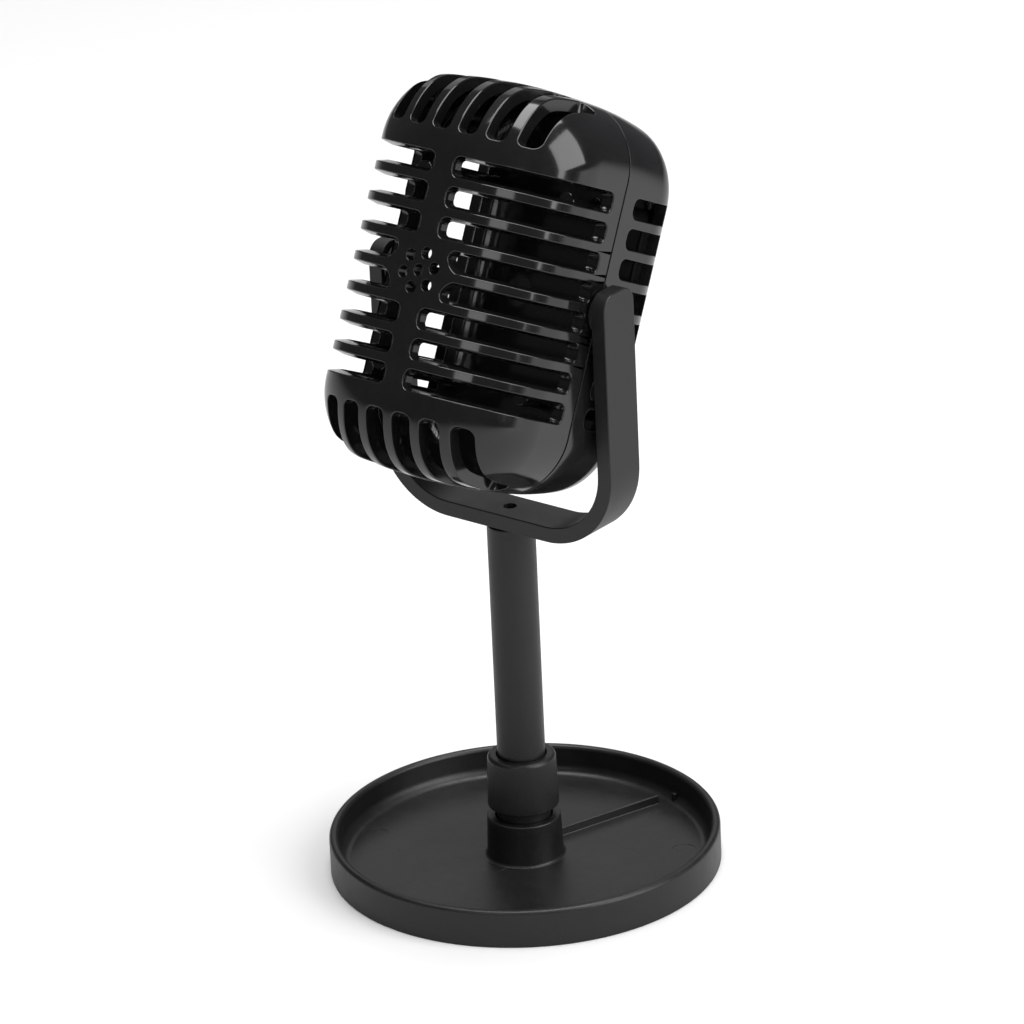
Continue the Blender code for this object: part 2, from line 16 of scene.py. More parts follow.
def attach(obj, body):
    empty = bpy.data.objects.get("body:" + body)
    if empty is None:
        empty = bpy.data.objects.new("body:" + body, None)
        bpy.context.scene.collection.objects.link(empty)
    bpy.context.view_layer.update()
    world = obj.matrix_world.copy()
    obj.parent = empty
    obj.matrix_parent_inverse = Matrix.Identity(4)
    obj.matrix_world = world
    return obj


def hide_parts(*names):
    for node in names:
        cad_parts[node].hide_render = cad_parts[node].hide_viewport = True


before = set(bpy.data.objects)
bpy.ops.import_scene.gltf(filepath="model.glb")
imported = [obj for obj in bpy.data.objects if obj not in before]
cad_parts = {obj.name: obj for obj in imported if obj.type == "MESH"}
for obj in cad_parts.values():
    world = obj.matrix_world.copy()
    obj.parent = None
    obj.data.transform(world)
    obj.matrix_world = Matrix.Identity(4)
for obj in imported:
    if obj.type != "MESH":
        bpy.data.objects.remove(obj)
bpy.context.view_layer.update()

MILLIMETRE = 0.001
GAP = 0.3  # clearance between pieces

# dish base, with a socket in its middle
BASE_R = 54.65
BASE_H = 10.9
RIM_THICK = 2.5
FLOOR_T = 2.6
FLOOR_FILLET = 3.0
SOCKET_R = 10.2
SOCKET_TOP = 14.8
SEAT = 5.0
SPIGOT_R = 7.6
RIB_AZIMUTH = 71.9
RIB_SIDE = 2.3  # the rib's distance from the radius at its azimuth

# collar and pole
COLLAR_R = 9.7
COLLAR_BOTTOM = 18.0
COLLAR_TOP = 33.3
POLE_R = 6.7
POLE_BORE_R = 4.7
POLE_FOOT = 20.3

# yoke: a strip bent into a U
YOKE_BOTTOM = 103.2
YOKE_HALF = 40.15
YOKE_T = 4.5
YOKE_W = 13.2
YOKE_R = 23.3
YOKE_TOP = 178.8
YOKE_TIP_R = 4.3
YOKE_FILLET = 0.32
POLE_TOP = YOKE_BOTTOM - GAP

PIVOT_Z = 171.6
PIVOT_R = 2.4
HEAD_TILT = 25.8

# head, about its pivot
HEAD_HALF_W = 33.85
HEAD_HALF_H = 51.1
HEAD_CROWN = 3.6  # extra height at x = 0
HEAD_FRONT = -38.1
HEAD_PART = -1.15  # depth of the parting line
HEAD_BACK = 28.2
HEAD_CORNER = 15.7
LEAST_CORNER = 9.6
NARROW_HALF_W = 10.0  # half width at which the corners are the least
SIDE_DRAFT = 0.35
TALLEST_Y = -8.0
HEIGHT_BOW = 260.0  # a larger value bows the top less
FULL_CROWN_H = 45.0  # half height from which the crown is full
FRONT_PLAN_R = 23.5
FRONT_EDGE_R = 16.8
BACK_PLAN_R = 12.6
BACK_EDGE = (9.4, 18.5)  # reach and height
WALL = 3.2

# slots and holes of the head
PITCH = 8.25
SLOT_MIDS = [(3.5 - row) * PITCH for row in range(4)]
SLOT_HALF = 2.84
SLOT_R = 2.1
COLUMN_HALF = 3.15
SHORT_SLOT_START = 8.4
BEVEL = 3.4
SIDE_END = -5.85
BACK_START = 4.3
BACK_END = 21.9
TOP_PITCH = 8.8
TOP_HALF = 2.95
TOP_START = 38.1
TOP_END = -9.4
HOLE_R = 1.62
HOLE_RING = 5.0

# screw posts and bosses inside the head
POST_X = 24.0
POST_Z = 26.5
POST_STEPS = 40

HEAD = Matrix.Translation((0, 0, PIVOT_Z)) @ Matrix.Rotation(math.radians(-HEAD_TILT), 4, "X")
Z_TO_Y = Matrix.Rotation(-math.pi / 2, 4, "X")
UP = np.array([(0.0, 0.0, 1.0)])
CORNERS = [(side_x, side_z) for side_x in (-1, 1) for side_z in (-1, 1)]


# ---- mesh helpers -----------------------------------------------------------
def unit(vectors):
    vectors = np.asarray(vectors, float)
    return vectors / np.maximum(np.linalg.norm(vectors, axis=-1, keepdims=True), 1e-12)


def dot(first, second):
    return (first * second).sum(-1, keepdims=True)


def within(points, loop):
    """Which flat points lie inside a loop, by the edges crossed on the way out."""
    x, y = points[:, 0][:, None], points[:, 1][:, None]
    start_x, start_y = loop[:, 0], loop[:, 1]
    end_x, end_y = np.roll(start_x, -1), np.roll(start_y, -1)
    span = np.where(np.abs(end_y - start_y) < 1e-12, 1e-12, end_y - start_y)
    crossed = x < start_x + (y - start_y) / span * (end_x - start_x)
    return (((start_y > y) != (end_y > y)) & crossed).sum(1) % 2 == 1


class Piece:
    """Points, faces and corner normals of one piece.

    A row is a tuple that begins with point indices and ends with their normals. A loop
    is a row with the points' places when laid out flat in between.
    """

    def __init__(self):
        self.points, self.count, self.faces = [], 0, []

    def add(self, points):
        points = np.asarray(points, float).reshape(-1, 3)
        self.points.append(points)
        self.count += len(points)
        return np.arange(self.count - len(points), self.count)

    def strip(self, first, second, first_normals, second_normals):
        """Quads between two closed rings of the same length."""
        normals = [np.broadcast_to(n, (len(first), 3)) for n in (first_normals, second_normals)]
        self.faces.append((
            np.stack([first, np.roll(first, -1), np.roll(second, -1), second], 1),
            np.stack([normals[0], np.roll(normals[0], -1, 0),
                      np.roll(normals[1], -1, 0), normals[1]], 1)))

    def strips(self, rows):
        for first, second in zip(rows, rows[1:]):
            self.strip(first[0], second[0], first[-1], second[-1])

    def fan(self, ring, centre, normal):
        middle = np.full(len(ring), self.add([centre])[0])
        self.faces.append((np.stack([ring, np.roll(ring, -1), middle], 1),
                           np.broadcast_to(np.asarray(normal, float), (len(ring), 3, 3))))

    def fill(self, loops, seeds=None):
        """Triangles between loops, of which the first is the border. Seeds are
        free points in the same form as a loop."""
        groups = list(loops) + ([seeds] if seeds else [])
        index = np.concatenate([group[0] for group in groups])
        flat = np.concatenate([group[1] for group in groups])
        normals = np.concatenate([np.broadcast_to(group[2], (len(group[0]), 3))
                                  for group in groups])
        edges, start = [], 0
        for loop in loops:
            size = len(loop[0])
            edges += [(start + i, start + (i + 1) % size) for i in range(size)]
            start += size
        made = delaunay_2d_cdt([Vector(p) for p in flat], edges, [], 0, 1e-9, True)
        source = np.array([origin[0] if origin else -1 for origin in made[3]])
        triangles = np.array([face for face in made[2] if len(face) == 3])
        where = np.array([tuple(p) for p in made[0]])
        middle = where[triangles].mean(1)
        kept = np.zeros(len(middle), bool)
        for _, loop, _ in loops:
            near = np.nonzero(((middle > loop.min(0)) & (middle < loop.max(0))).all(1))[0]
            if len(near):
                kept[near] ^= within(middle[near], loop)

        # points that the triangulation added lie on the nearest edge
        added = np.nonzero(source < 0)[0]
        if len(added):
            ends = np.array(edges)
            starts = flat[ends[:, 0]]
            along = flat[ends[:, 1]] - starts
            known = np.hstack([np.vstack(self.points)[index], normals])
            new = []
            for k in added:
                share = ((where[k] - starts) * along).sum(1)
                share = np.clip(share / np.maximum((along ** 2).sum(1), 1e-18), 0, 1)
                away = np.linalg.norm(starts + along * share[:, None] - where[k], axis=1)
                nearest = int(np.argmin(away))
                i, j = ends[nearest]
                new.append(known[i] * (1 - share[nearest]) + known[j] * share[nearest])
            new = np.array(new)
            source[added] = len(index) + np.arange(len(added))
            index = np.concatenate([index, self.add(new[:, :3])])
            normals = np.vstack([normals, new[:, 3:]])
        triangles = source[triangles[kept]]
        self.faces.append((index[triangles], normals[triangles]))

    def build(self, name, matrix=Matrix.Identity(4)):
        """The object, in metres. Faces are turned to agree with their normals, and
        those without area are dropped."""
        points = np.vstack(self.points)
        faces, normals = [], []
        for index, normal in self.faces:
            index, normal = index.copy(), normal.copy()
            corners = points[index]
            if index.shape[1] == 4:
                across = np.cross(corners[:, 2] - corners[:, 0], corners[:, 3] - corners[:, 1])
            else:
                across = np.cross(corners[:, 1] - corners[:, 0], corners[:, 2] - corners[:, 0])
            whole = np.linalg.norm(across, axis=1) > 1e-10
            turned = (across * normal.mean(1)).sum(1) < 0
            index[turned], normal[turned] = index[turned][:, ::-1], normal[turned][:, ::-1]
            for face, corner in zip(index[whole].tolist(), normal[whole].tolist()):
                kept = [k for k in range(len(face)) if face[k] != face[k - 1]]
                if len(kept) > 2:
                    faces.append([face[k] for k in kept])
                    normals += [corner[k] for k in kept]
        place = np.array(matrix, float)
        points = points @ place[:3, :3].T + place[:3, 3]
        normals = unit(np.array(normals)) @ place[:3, :3].T
        used = np.unique(np.concatenate(faces))
        renumber = np.zeros(len(points), int)
        renumber[used] = np.arange(len(used))
        mesh = bpy.data.meshes.new(name)
        mesh.from_pydata((points[used] * MILLIMETRE).tolist(), [],
                         [renumber[face].tolist() for face in faces])
        mesh.shade_smooth()
        mesh.normals_split_custom_set(normals.tolist())
        mesh.update()
        obj = bpy.data.objects.new(name, mesh)
        bpy.context.scene.collection.objects.link(obj)
        return obj


def rounded(corners, count=5, closed=True):
    """A line through (x, z, radius) corners, with arcs for those that have a radius.
    An arc at a right angle has count steps."""
    line = []
    size = len(corners)
    for i, corner in enumerate(corners):
        point = np.array(corner[:2], float)
        radius = corner[2] if len(corner) > 2 else 0.0
        if radius <= 0 or (not closed and i in (0, size - 1)):
            line.append(point)
            continue
        before = np.array(corners[i - 1][:2], float)
        after = np.array(corners[(i + 1) % size][:2], float)
        back, on = unit(before - point), unit(after - point)
        half = math.acos(np.clip(float(back @ on), -1, 1)) / 2
        if half > math.pi / 2 - 0.02:
            line.append(point)
            continue
        reach = min(radius / math.tan(half), 0.49 * np.linalg.norm(before - point),
                    0.49 * np.linalg.norm(after - point))
        radius = reach * math.tan(half)
        centre = point + unit(back + on) * radius / math.sin(half)
        start, end = point + back * reach - centre, point + on * reach - centre
        steps = max(2, round(count * (math.pi / 2 - half) / (math.pi / 4)))
        total = math.acos(np.clip(float(unit(start) @ unit(end)), -1, 1))
        for k in range(steps + 1):
            share = k / steps
            arm = start * math.sin((1 - share) * total) + end * math.sin(share * total)
            line.append(centre + arm / math.sin(total))
    return np.array(line)


def line_normals(line, closed):
    """Normals at both ends of each stretch of a line that runs down its outer
    side. Long stretches keep their own normal where they meet an arc."""
    count = len(line) if closed else len(line) - 1
    stretch = np.array([line[(i + 1) % len(line)] - line[i] for i in range(count)])
    length = np.linalg.norm(stretch, axis=1)
    along = unit(stretch)
    own = np.stack([-along[:, 1], along[:, 0]], 1)
    first, last = own.copy(), own.copy()
    for i in range(count if closed else count - 1):
        j = (i + 1) % count
        # a turn of more than 40 degrees stays a hard edge
        if own[i] @ own[j] > math.cos(math.radians(40.0)):
            last[i] = first[j] = unit(own[i] * length[i] ** 2 + own[j] * length[j] ** 2)
    return first, last


def circle(x, y, radius, steps):
    turns = np.arange(steps) * 2 * math.pi / steps
    return np.stack([x + radius * np.cos(turns), y + radius * np.sin(turns)], 1)


def with_z(flat, z):
    return np.column_stack([flat, np.full(len(flat), z)])


def with_y(flat, y):
    """Points from (x, z) places at a depth y."""
    return np.column_stack([flat[:, 0], np.full(len(flat), y), flat[:, 1]])


def quarter(count):
    """Angles of a right-angled arc of count steps."""
    return [math.pi / 2 * k / count for k in range(count + 1)]


def lathe(piece, line, steps, closed=True, open_row=None):
    """Turns a line round Z, but for one open stretch. Returns its rows of indices."""
    ring = circle(0, 0, 1, steps)
    rows = []
    for radius, z in line:
        if abs(radius) < 1e-9:
            rows.append(np.repeat(piece.add([(0, 0, z)]), steps))
        else:
            rows.append(piece.add(with_z(radius * ring, z)))
    first, last = line_normals(line, closed)
    for i in range(len(first)):
        if i != open_row:
            piece.strip(rows[i], rows[(i + 1) % len(rows)], with_z(first[i][0] * ring, first[i][1]),
                        with_z(last[i][0] * ring, last[i][1]))
    return rows


def outward(outline):
    """Directions out of a flat outline."""
    along = np.roll(outline, -1, 0) - np.roll(outline, 1, 0)
    away = unit(np.stack([along[:, 1], -along[:, 0]], 1))
    return -away if (away * (outline - outline.mean(0))).sum() < 0 else away


def outward_on_skin(edge, normals, towards=None):
    """Directions along a skin out of an edge on it, or to the given side of it."""
    along = np.roll(edge, -1, 0) - np.roll(edge, 1, 0)
    away = unit(np.cross(along, normals))
    towards = edge - edge.mean(0) if towards is None else towards
    return -away if (away * towards).sum() < 0 else away


def sunk(piece, outline, z, depth, taper, fillet):
    """A recess in a level face that looks up, from its outline in XY. Returns the
    rim as a loop for fill."""
    away = outward(outline)
    rows = []
    for turn in quarter(3):
        at = outline + away * fillet * (1 - math.sin(turn))
        rows.append((piece.add(with_z(at, z - fillet * (1 - math.cos(turn)))),
                     with_z(-away * math.sin(turn), math.cos(turn))))
    foot = outline - away * taper
    low = piece.add(with_z(foot, z - depth))
    side = with_z(-away, 0.0)
    piece.strips(rows)
    piece.strip(rows[-1][0], low, side, side)
    piece.fill([(low, foot, UP)])
    return rows[0][0], outline + away * fillet, UP


def stack(piece, outline, line):
    """A solid of an outline in XY, from a line of (outward offset, z) that runs down."""
    away = outward(outline)
    rows = []
    for offset, z in line:
        flat = outline + away * offset
        rows.append((piece.add(with_z(flat, z)), flat))
    first, last = line_normals(line, False)
    for i in range(len(first)):
        piece.strip(rows[i][0], rows[i + 1][0], with_z(away * first[i][0], first[i][1]),
                    with_z(away * last[i][0], last[i][1]))
    piece.fill([(*rows[0], UP)])
    piece.fill([(*rows[-1], -UP)])


def lathed(name, corners, matrix=Matrix.Identity(4), steps=96, count=5, closed=True):
    """An object turned from (radius, z, corner radius) corners."""
    piece = Piece()
    lathe(piece, rounded(corners, count, closed), steps, closed)
    return piece.build(name, matrix)


# ---- procedural finishes ----------------------------------------------------
def set_inputs(node, inputs):
    """Sets inputs to values, or links them to other nodes' outputs."""
    for key, value in inputs.items():
        if isinstance(value, bpy.types.NodeSocket):
            node.id_data.links.new(value, node.inputs[key])
        else:
            node.inputs[key].default_value = value


def add_node(tree, kind, inputs={}, **settings):
    node = tree.nodes.new(kind)
    for key, value in settings.items():
        setattr(node, key, value)
    set_inputs(node, inputs)
    return node


def finish(name, colour, rough, rough_range, grain, grain_scale, bump, wear,
           metallic=0.0, coat=0.0, z_stretch=1, ripple=0.0):
    """A material in the object's own space, so that it stays with the piece.

    rough varies by rough_range either way, and wear is what scratches add to it. grain is
    the relief's strength and bump its depth. ripple is the depth of a faint long wave.
    """
    mat = bpy.data.materials.new(name)
    mat.use_nodes = True
    tree = mat.node_tree
    shader = tree.nodes["Principled BSDF"]
    set_inputs(shader, {"Metallic": metallic, "IOR": 1.5, "Coat Weight": coat,
                        "Coat Roughness": 0.06})
    place = add_node(tree, "ShaderNodeTexCoord").outputs["Object"]

    def mapping(**inputs):
        return add_node(tree, "ShaderNodeMapping", {"Vector": place, **inputs}).outputs["Vector"]

    def noise(vector, scale, detail, roughness):
        return add_node(tree, "ShaderNodeTexNoise", {
            "Vector": vector, "Scale": scale, "Detail": detail,
            "Roughness": roughness}).outputs["Fac"]

    def spread(source, source_range, result_range):
        return add_node(tree, "ShaderNodeMapRange", {
            "Value": source, "From Min": source_range[0], "From Max": source_range[1],
            "To Min": result_range[0], "To Max": result_range[1]}).outputs["Result"]

    def relief(height, strength, depth, **inputs):
        return add_node(tree, "ShaderNodeBump", {
            "Height": height, "Strength": strength, "Distance": depth * MILLIMETRE,
            **inputs}).outputs["Normal"]

    # soft patches of handling marks and uneven gloss
    stretched = mapping(Scale=(1, 1, z_stretch))
    patches = noise(stretched, scale=38.0, detail=4.0, roughness=0.55)
    rub = noise(stretched, scale=210.0, detail=5.0, roughness=0.7)
    mixed = add_node(tree, "ShaderNodeMath", {0: patches, 1: rub},
                     operation="MULTIPLY").outputs[0]
    mixed_range = (0.12, 0.42)
    gloss = spread(mixed, mixed_range, (rough - rough_range, rough + rough_range))
    # hairline scratches, from a stretched noise of which only the peaks show
    lines = mapping(Scale=(30, 900, 60), Rotation=(0.4, 0.2, 0.7))
    hair = noise(lines, scale=3.0, detail=2.0, roughness=0.5)
    scratch = spread(hair, (0.66, 0.72), (0.0, wear))
    total = add_node(tree, "ShaderNodeMath", {0: gloss, 1: scratch},
                     operation="ADD", use_clamp=True)
    set_inputs(shader, {"Roughness": total.outputs[0]})
    # colour: a little lighter where it is rubbed
    tint = add_node(tree, "ShaderNodeMix", {
        "A": tuple(c * 0.8 for c in colour) + (1.0,),
        "B": tuple(min(1.0, c * 1.45 + 0.0015) for c in colour) + (1.0,)}, data_type="RGBA")
    set_inputs(tint, {"Factor": spread(mixed, mixed_range, (0.15, 0.75))})
    set_inputs(shader, {"Base Color": tint.outputs["Result"]})
    # fine grain, and for gloss a faint long ripple
    fine = noise(stretched, scale=grain_scale, detail=3.0, roughness=0.6)
    surface = relief(fine, grain, bump)
    if ripple:
        wave = noise(stretched, scale=55.0, detail=1.0, roughness=0.55)
        surface = relief(wave, 1.0, ripple, Normal=surface)
    set_inputs(shader, {"Normal": surface})
    return mat


# each finish is its slot's name and its material
GLOSS = ("gloss_black", finish(
    "gloss black plastic", colour=(0.0085, 0.0085, 0.009), rough=0.13, rough_range=0.04,
    grain=0.25, grain_scale=900.0, bump=0.01, wear=0.10, coat=0.35, ripple=0.05))
SATIN = ("satin_black", finish(
    "satin black plastic", colour=(0.012, 0.012, 0.0122), rough=0.40, rough_range=0.06,
    grain=0.5, grain_scale=1500.0, bump=0.03, wear=0.08))
BASE = ("base_black", finish(
    "textured black plastic", colour=(0.011, 0.011, 0.0112), rough=0.38, rough_range=0.07,
    grain=0.7, grain_scale=1300.0, bump=0.05, wear=0.10))
NYLON = ("black_nylon", finish(
    "black nylon", colour=(0.02, 0.02, 0.02), rough=0.5, rough_range=0.06,
    grain=0.4, grain_scale=800.0, bump=0.03, wear=0.05))
STEEL = ("zinc_steel", finish(
    "zinc plated steel", colour=(0.52, 0.52, 0.54), rough=0.32, rough_range=0.08,
    grain=0.4, grain_scale=1100.0, bump=0.02, wear=0.12, metallic=1.0, z_stretch=12))


def dress(obj, slot_finish, body, *nodes):
    """Gives a piece its finish and body, and hides the CAD pieces that it stands for."""
    slot, mat = slot_finish
    obj.data.materials.append(mat)
    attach(obj, body)
    if nodes:
        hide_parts(*nodes)


# ---- the head's form --------------------------------------------------------
# facing is -1 for the front shell and 1 for the rear shell
def round_loss(depth, reach, height=None):
    """What a rounded edge takes off at a depth from its end."""
    share = np.clip(depth / reach, 0, 1)
    height = reach if height is None else height
    return height * (1 - np.sqrt(np.clip(1 - (1 - share) ** 2, 0, None)))


def sizes(y):
    """Half width, half height and corner radius of the head at a depth y."""
    y = np.asarray(y, float)
    in_front = y < HEAD_PART
    from_front = np.clip(y - HEAD_FRONT, 0, None)
    from_back = np.clip(HEAD_BACK - y, 0, None)
    draft = SIDE_DRAFT * (HEAD_PART - y) / (HEAD_PART - HEAD_FRONT)
    half_w = np.where(in_front, HEAD_HALF_W - draft - round_loss(from_front, FRONT_PLAN_R),
                      HEAD_HALF_W - round_loss(from_back, BACK_PLAN_R))
    half_h = HEAD_HALF_H - (y - TALLEST_Y) ** 2 / HEIGHT_BOW
    half_h = np.where(in_front, half_h - round_loss(from_front, FRONT_EDGE_R),
                      half_h - round_loss(from_back, *BACK_EDGE))
    share = np.maximum(0.0, (half_w - NARROW_HALF_W) / (HEAD_HALF_W - NARROW_HALF_W))
    return half_w, half_h, LEAST_CORNER + (HEAD_CORNER - LEAST_CORNER) * share


def crown(x, half_w, half_h):
    """The factor by which the crown raises z at a distance x from the middle."""
    rise = HEAD_CROWN * np.minimum(1.0, half_h / FULL_CROWN_H)
    return 1 + rise / half_h * np.cos(math.pi / 2 * np.minimum(1.0, x / half_w))


def outside(points):
    """Distance outside the head's outline at each point's own depth."""
    x, z = np.abs(points[:, 0]), np.abs(points[:, 2])
    half_w, half_h, corner = sizes(points[:, 1])
    z = z / crown(x, half_w, half_h)
    over_x, over_z = x - (half_w - corner), z - (half_h - corner)
    return (np.hypot(np.maximum(over_x, 0), np.maximum(over_z, 0))
            + np.minimum(np.maximum(over_x, over_z), 0) - corner)


def hit(start, way):
    """Where lines from inside the head meet its outside, found by halving."""
    start = np.asarray(start, float)
    way = np.broadcast_to(unit(way), start.shape)
    low, high = np.zeros(len(start)), np.full(len(start), 95.0)
    for _ in range(48):
        middle = (low + high) / 2
        points = start + way * middle[:, None]
        inside = ((outside(points) < 0) & (points[:, 1] > HEAD_FRONT)
                  & (points[:, 1] < HEAD_BACK))
        low, high = np.where(inside, middle, low), np.where(inside, high, middle)
    return start + way * low[:, None]


def cast(x, y, z, way):
    return hit(np.stack(np.broadcast_arrays(np.atleast_1d(x), y, z), 1), way)


def face_hit(x, z, facing):
    return cast(x, -8.0 if facing < 0 else 4.0, z, (0, facing, 0))


def side_hit(y, z):
    return cast(0.0, y, z, (1, 0, 0))


def top_hit(x, y):
    return cast(x, y, 0.0, (0, 0, 1))


def end_depth(y):
    """Distance from the nearer of the head's front and back."""
    return np.minimum(np.clip(y - HEAD_FRONT, 0, None), np.clip(HEAD_BACK - y, 0, None))


def change(points, axis, step):
    """Change of the distance outside over a step to either side along an axis."""
    shift = np.zeros_like(points)
    shift[:, axis] = step
    return outside(points + shift) - outside(points - shift)


def skin_normal(points):
    depth = end_depth(points[:, 1])
    steps = (1e-3, np.clip(depth * 0.05, 1e-6, 0.01), 1e-3)
    normals = unit(np.stack([change(points, axis, step) / (2 * step)
                             for axis, step in enumerate(steps)], 1))
    at_end = depth < 2e-4
    normals[at_end] = (0, 0, 0)
    normals[at_end, 1] = np.where(points[at_end, 1] < 0, -1.0, 1.0)
    return normals


def laid_flat(points):
    """Where each point of the head's skin lies when it is laid out flat."""
    depth = end_depth(points[:, 1])
    radius = np.where(points[:, 1] < HEAD_PART, FRONT_PLAN_R, BACK_PLAN_R)
    turn = np.arccos(np.clip(1 - depth / radius, 0, 1))
    far = np.where(depth < radius, radius * (turn - np.sin(turn)),
                   radius * (math.pi / 2 - 1) + depth - radius)
    away = unit(np.stack([change(points, 0, 1e-3), change(points, 2, 1e-3)], 1))
    return points[:, (0, 2)] + away * far[:, None]


def outline_at(y, step):
    """Points of the head's outline at a depth y."""
    half_w, half_h, corner = (float(v) for v in sizes(y))
    straight_x, straight_z = half_w - corner, half_h - corner
    side_steps = max(2, round(straight_z / step))
    turns = np.radians(np.linspace(0, 90, max(5, round(corner * math.pi / 2 / step)) + 1))
    top_steps = max(2, round(straight_x / step))
    part = [(half_w, z) for z in np.linspace(0, straight_z, side_steps, endpoint=False)]
    part += [(straight_x + corner * math.cos(turn), straight_z + corner * math.sin(turn))
             for turn in turns]
    part += [(x, half_h) for x in np.linspace(straight_x, 0, top_steps + 1)[1:]]
    half = part + [(-x, z) for x, z in reversed(part[:-1])]
    ring = np.array(half + [(-x, -z) for x, z in half[1:-1]])
    z = ring[:, 1] * crown(np.abs(ring[:, 0]), half_w, half_h)
    return np.stack([ring[:, 0], np.full(len(ring), y), z], 1)


# ---- outlines of the head's slots -------------------------------------------
QUARTER_SIN = np.sin(np.radians(np.linspace(0, 90, 11)))
QUARTER_COS = np.cos(np.radians(np.linspace(0, 90, 11)))
SLOT_SIN = SLOT_R * QUARTER_SIN
SLOT_COS = SLOT_R * QUARTER_COS


def traced(centre, axis, ends, step):
    """Evenly spaced points of the skin between two points, by sight lines from a
    centre that turn from -Y towards the given axis."""
    limits = [math.atan2(p[axis] - centre[axis], centre[1] - p[1]) for p in ends]

    def seen(turns):
        ways = np.zeros((len(turns), 3))
        ways[:, axis] = np.sin(turns)
        ways[:, 1] = -np.cos(turns)
        return hit(np.tile(centre, (len(turns), 1)), ways)

    turns = np.linspace(*limits, 260)
    lengths = np.linalg.norm(np.diff(seen(turns), axis=0), axis=1)
    run = np.concatenate([[0], np.cumsum(lengths)])
    count = max(6, round(run[-1] / step))
    return seen(np.interp(np.linspace(0, run[-1], count + 1), run, turns))


def round_end(middle, half, tip, way):
    """Places across and along a slot at its end with round corners."""
    across = np.concatenate([middle - half + SLOT_R - SLOT_COS, [middle],
                             (middle + half - SLOT_R + SLOT_COS)[::-1]])
    side = tip - way * SLOT_R + way * SLOT_SIN
    return across, np.concatenate([side, [tip], side[::-1]])


def side_slot(middle, start, bevelled):
    """A front slot that runs from x = start round to the side. Its lower inner corner
    may be bevelled."""

    def long_edge(way):
        z = middle + way * SLOT_HALF
        begin = start + (BEVEL if bevelled and way < 0 else SLOT_R)
        ends = (face_hit(begin, z, -1)[0], side_hit(SIDE_END - SLOT_R, z)[0])
        return traced((10.0, HEAD_FRONT + FRONT_PLAN_R, z), 0, ends, step=0.9)

    def inner_corner(way):
        """(x, z) places from the long edge to the inner end."""
        if not (bevelled and way < 0):
            z = middle + way * (SLOT_HALF - SLOT_R + SLOT_COS)
            return np.stack([start + SLOT_R - SLOT_SIN, z], 1)
        corner = np.array([start, middle - SLOT_HALF])
        first = np.array([start + BEVEL, middle - SLOT_HALF])
        last = np.array([start, middle - (SLOT_HALF - BEVEL)])
        halfway = (first + last) / 2
        control = halfway + (corner - halfway) * 0.45
        t = np.linspace(0, 1, 11)[:, None]
        return (1 - t) ** 2 * first + 2 * t * (1 - t) * control + t ** 2 * last

    z, y = round_end(middle, SLOT_HALF, SIDE_END, 1)
    inner = np.concatenate([inner_corner(1), inner_corner(-1)[::-1]])
    root = face_hit(inner[:, 0], inner[:, 1], -1)
    return np.concatenate([long_edge(-1)[:-1], side_hit(y, z), long_edge(1)[::-1][1:],
                           root[1:-1]])


def rear_slot(middle):
    """A rear slot: rounded towards the parting line, and ended by a flat face
    square to the sides."""
    fillet = 0.3
    y = np.concatenate([
        BACK_START + SLOT_R - SLOT_SIN[::-1][:-1],
        np.linspace(BACK_START + SLOT_R, BACK_END - fillet, 22)[:-1],
        BACK_END - fillet + fillet * QUARTER_SIN[::2]])
    z = np.concatenate([
        SLOT_HALF - SLOT_R + SLOT_COS[::-1][:-1], np.full(21, SLOT_HALF),
        SLOT_HALF - fillet + fillet * QUARTER_COS[::2]])
    across = np.linspace(SLOT_HALF - fillet, -(SLOT_HALF - fillet), 8)[1:-1]
    return side_hit(np.concatenate([y, np.full(6, BACK_END), y[::-1]]),
                    middle + np.concatenate([z, across, -z[::-1]]))


def top_slot(middle):
    """A front slot that runs over the top edge."""

    def long_edge(way):
        x = middle + way * TOP_HALF
        ends = (face_hit(x, TOP_START + SLOT_R, -1)[0], top_hit(x, TOP_END - SLOT_R)[0])
        return traced((x, -18.0, 25.0), 2, ends, step=0.8)

    tip = top_hit(*round_end(middle, TOP_HALF, TOP_END, 1))
    x, z = round_end(middle, TOP_HALF, TOP_START, -1)
    root = face_hit(x[::-1], z, -1)
    return np.concatenate([long_edge(-1)[:-1], tip, long_edge(1)[::-1][1:], root[1:-1]])


def tidy(loop):
    """Drops points that lie on their neighbour."""
    return loop[np.linalg.norm(loop - np.roll(loop, 1, 0), axis=1) > 0.03]


def opening(piece, edge, plane, fillet, taper, towards=None):
    """A hole's wall with a rounded rim. plane says which axes the wall may lean in.
    Returns the loops that it leaves in the outer and the inner skin."""
    normals = skin_normal(edge)
    away = outward_on_skin(edge, normals, towards)
    into = unit(-normals * plane)
    face = unit(-away + into * dot(away, into))
    rim = []
    for turn in quarter(4):
        arm = into * math.cos(turn) + away * math.sin(turn)
        rim.append((piece.add(edge + (into + away) * fillet - fillet * arm),
                    unit(normals * math.cos(turn) + face * math.sin(turn))))
    piece.strips(rim)
    foot = edge + into * (WALL / dot(into, -normals)) - away * taper
    down = unit(foot - (edge + into * fillet))
    side = unit(-away + down * dot(away, down))
    # the inner edge has a small round too
    soft = 0.18
    low = []
    for turn in quarter(2):
        at = foot - into * soft * (1 - math.sin(turn)) + away * soft * (1 - math.cos(turn))
        low.append((piece.add(at), unit(side * math.cos(turn) - normals * math.sin(turn))))
    piece.strip(rim[-1][0], low[0][0], face, side)
    piece.strips(low)
    over = foot + away * soft + normals * WALL
    return ((rim[0][0], laid_flat(edge + away * fillet), normals),
            (low[-1][0], laid_flat(over), -normals))


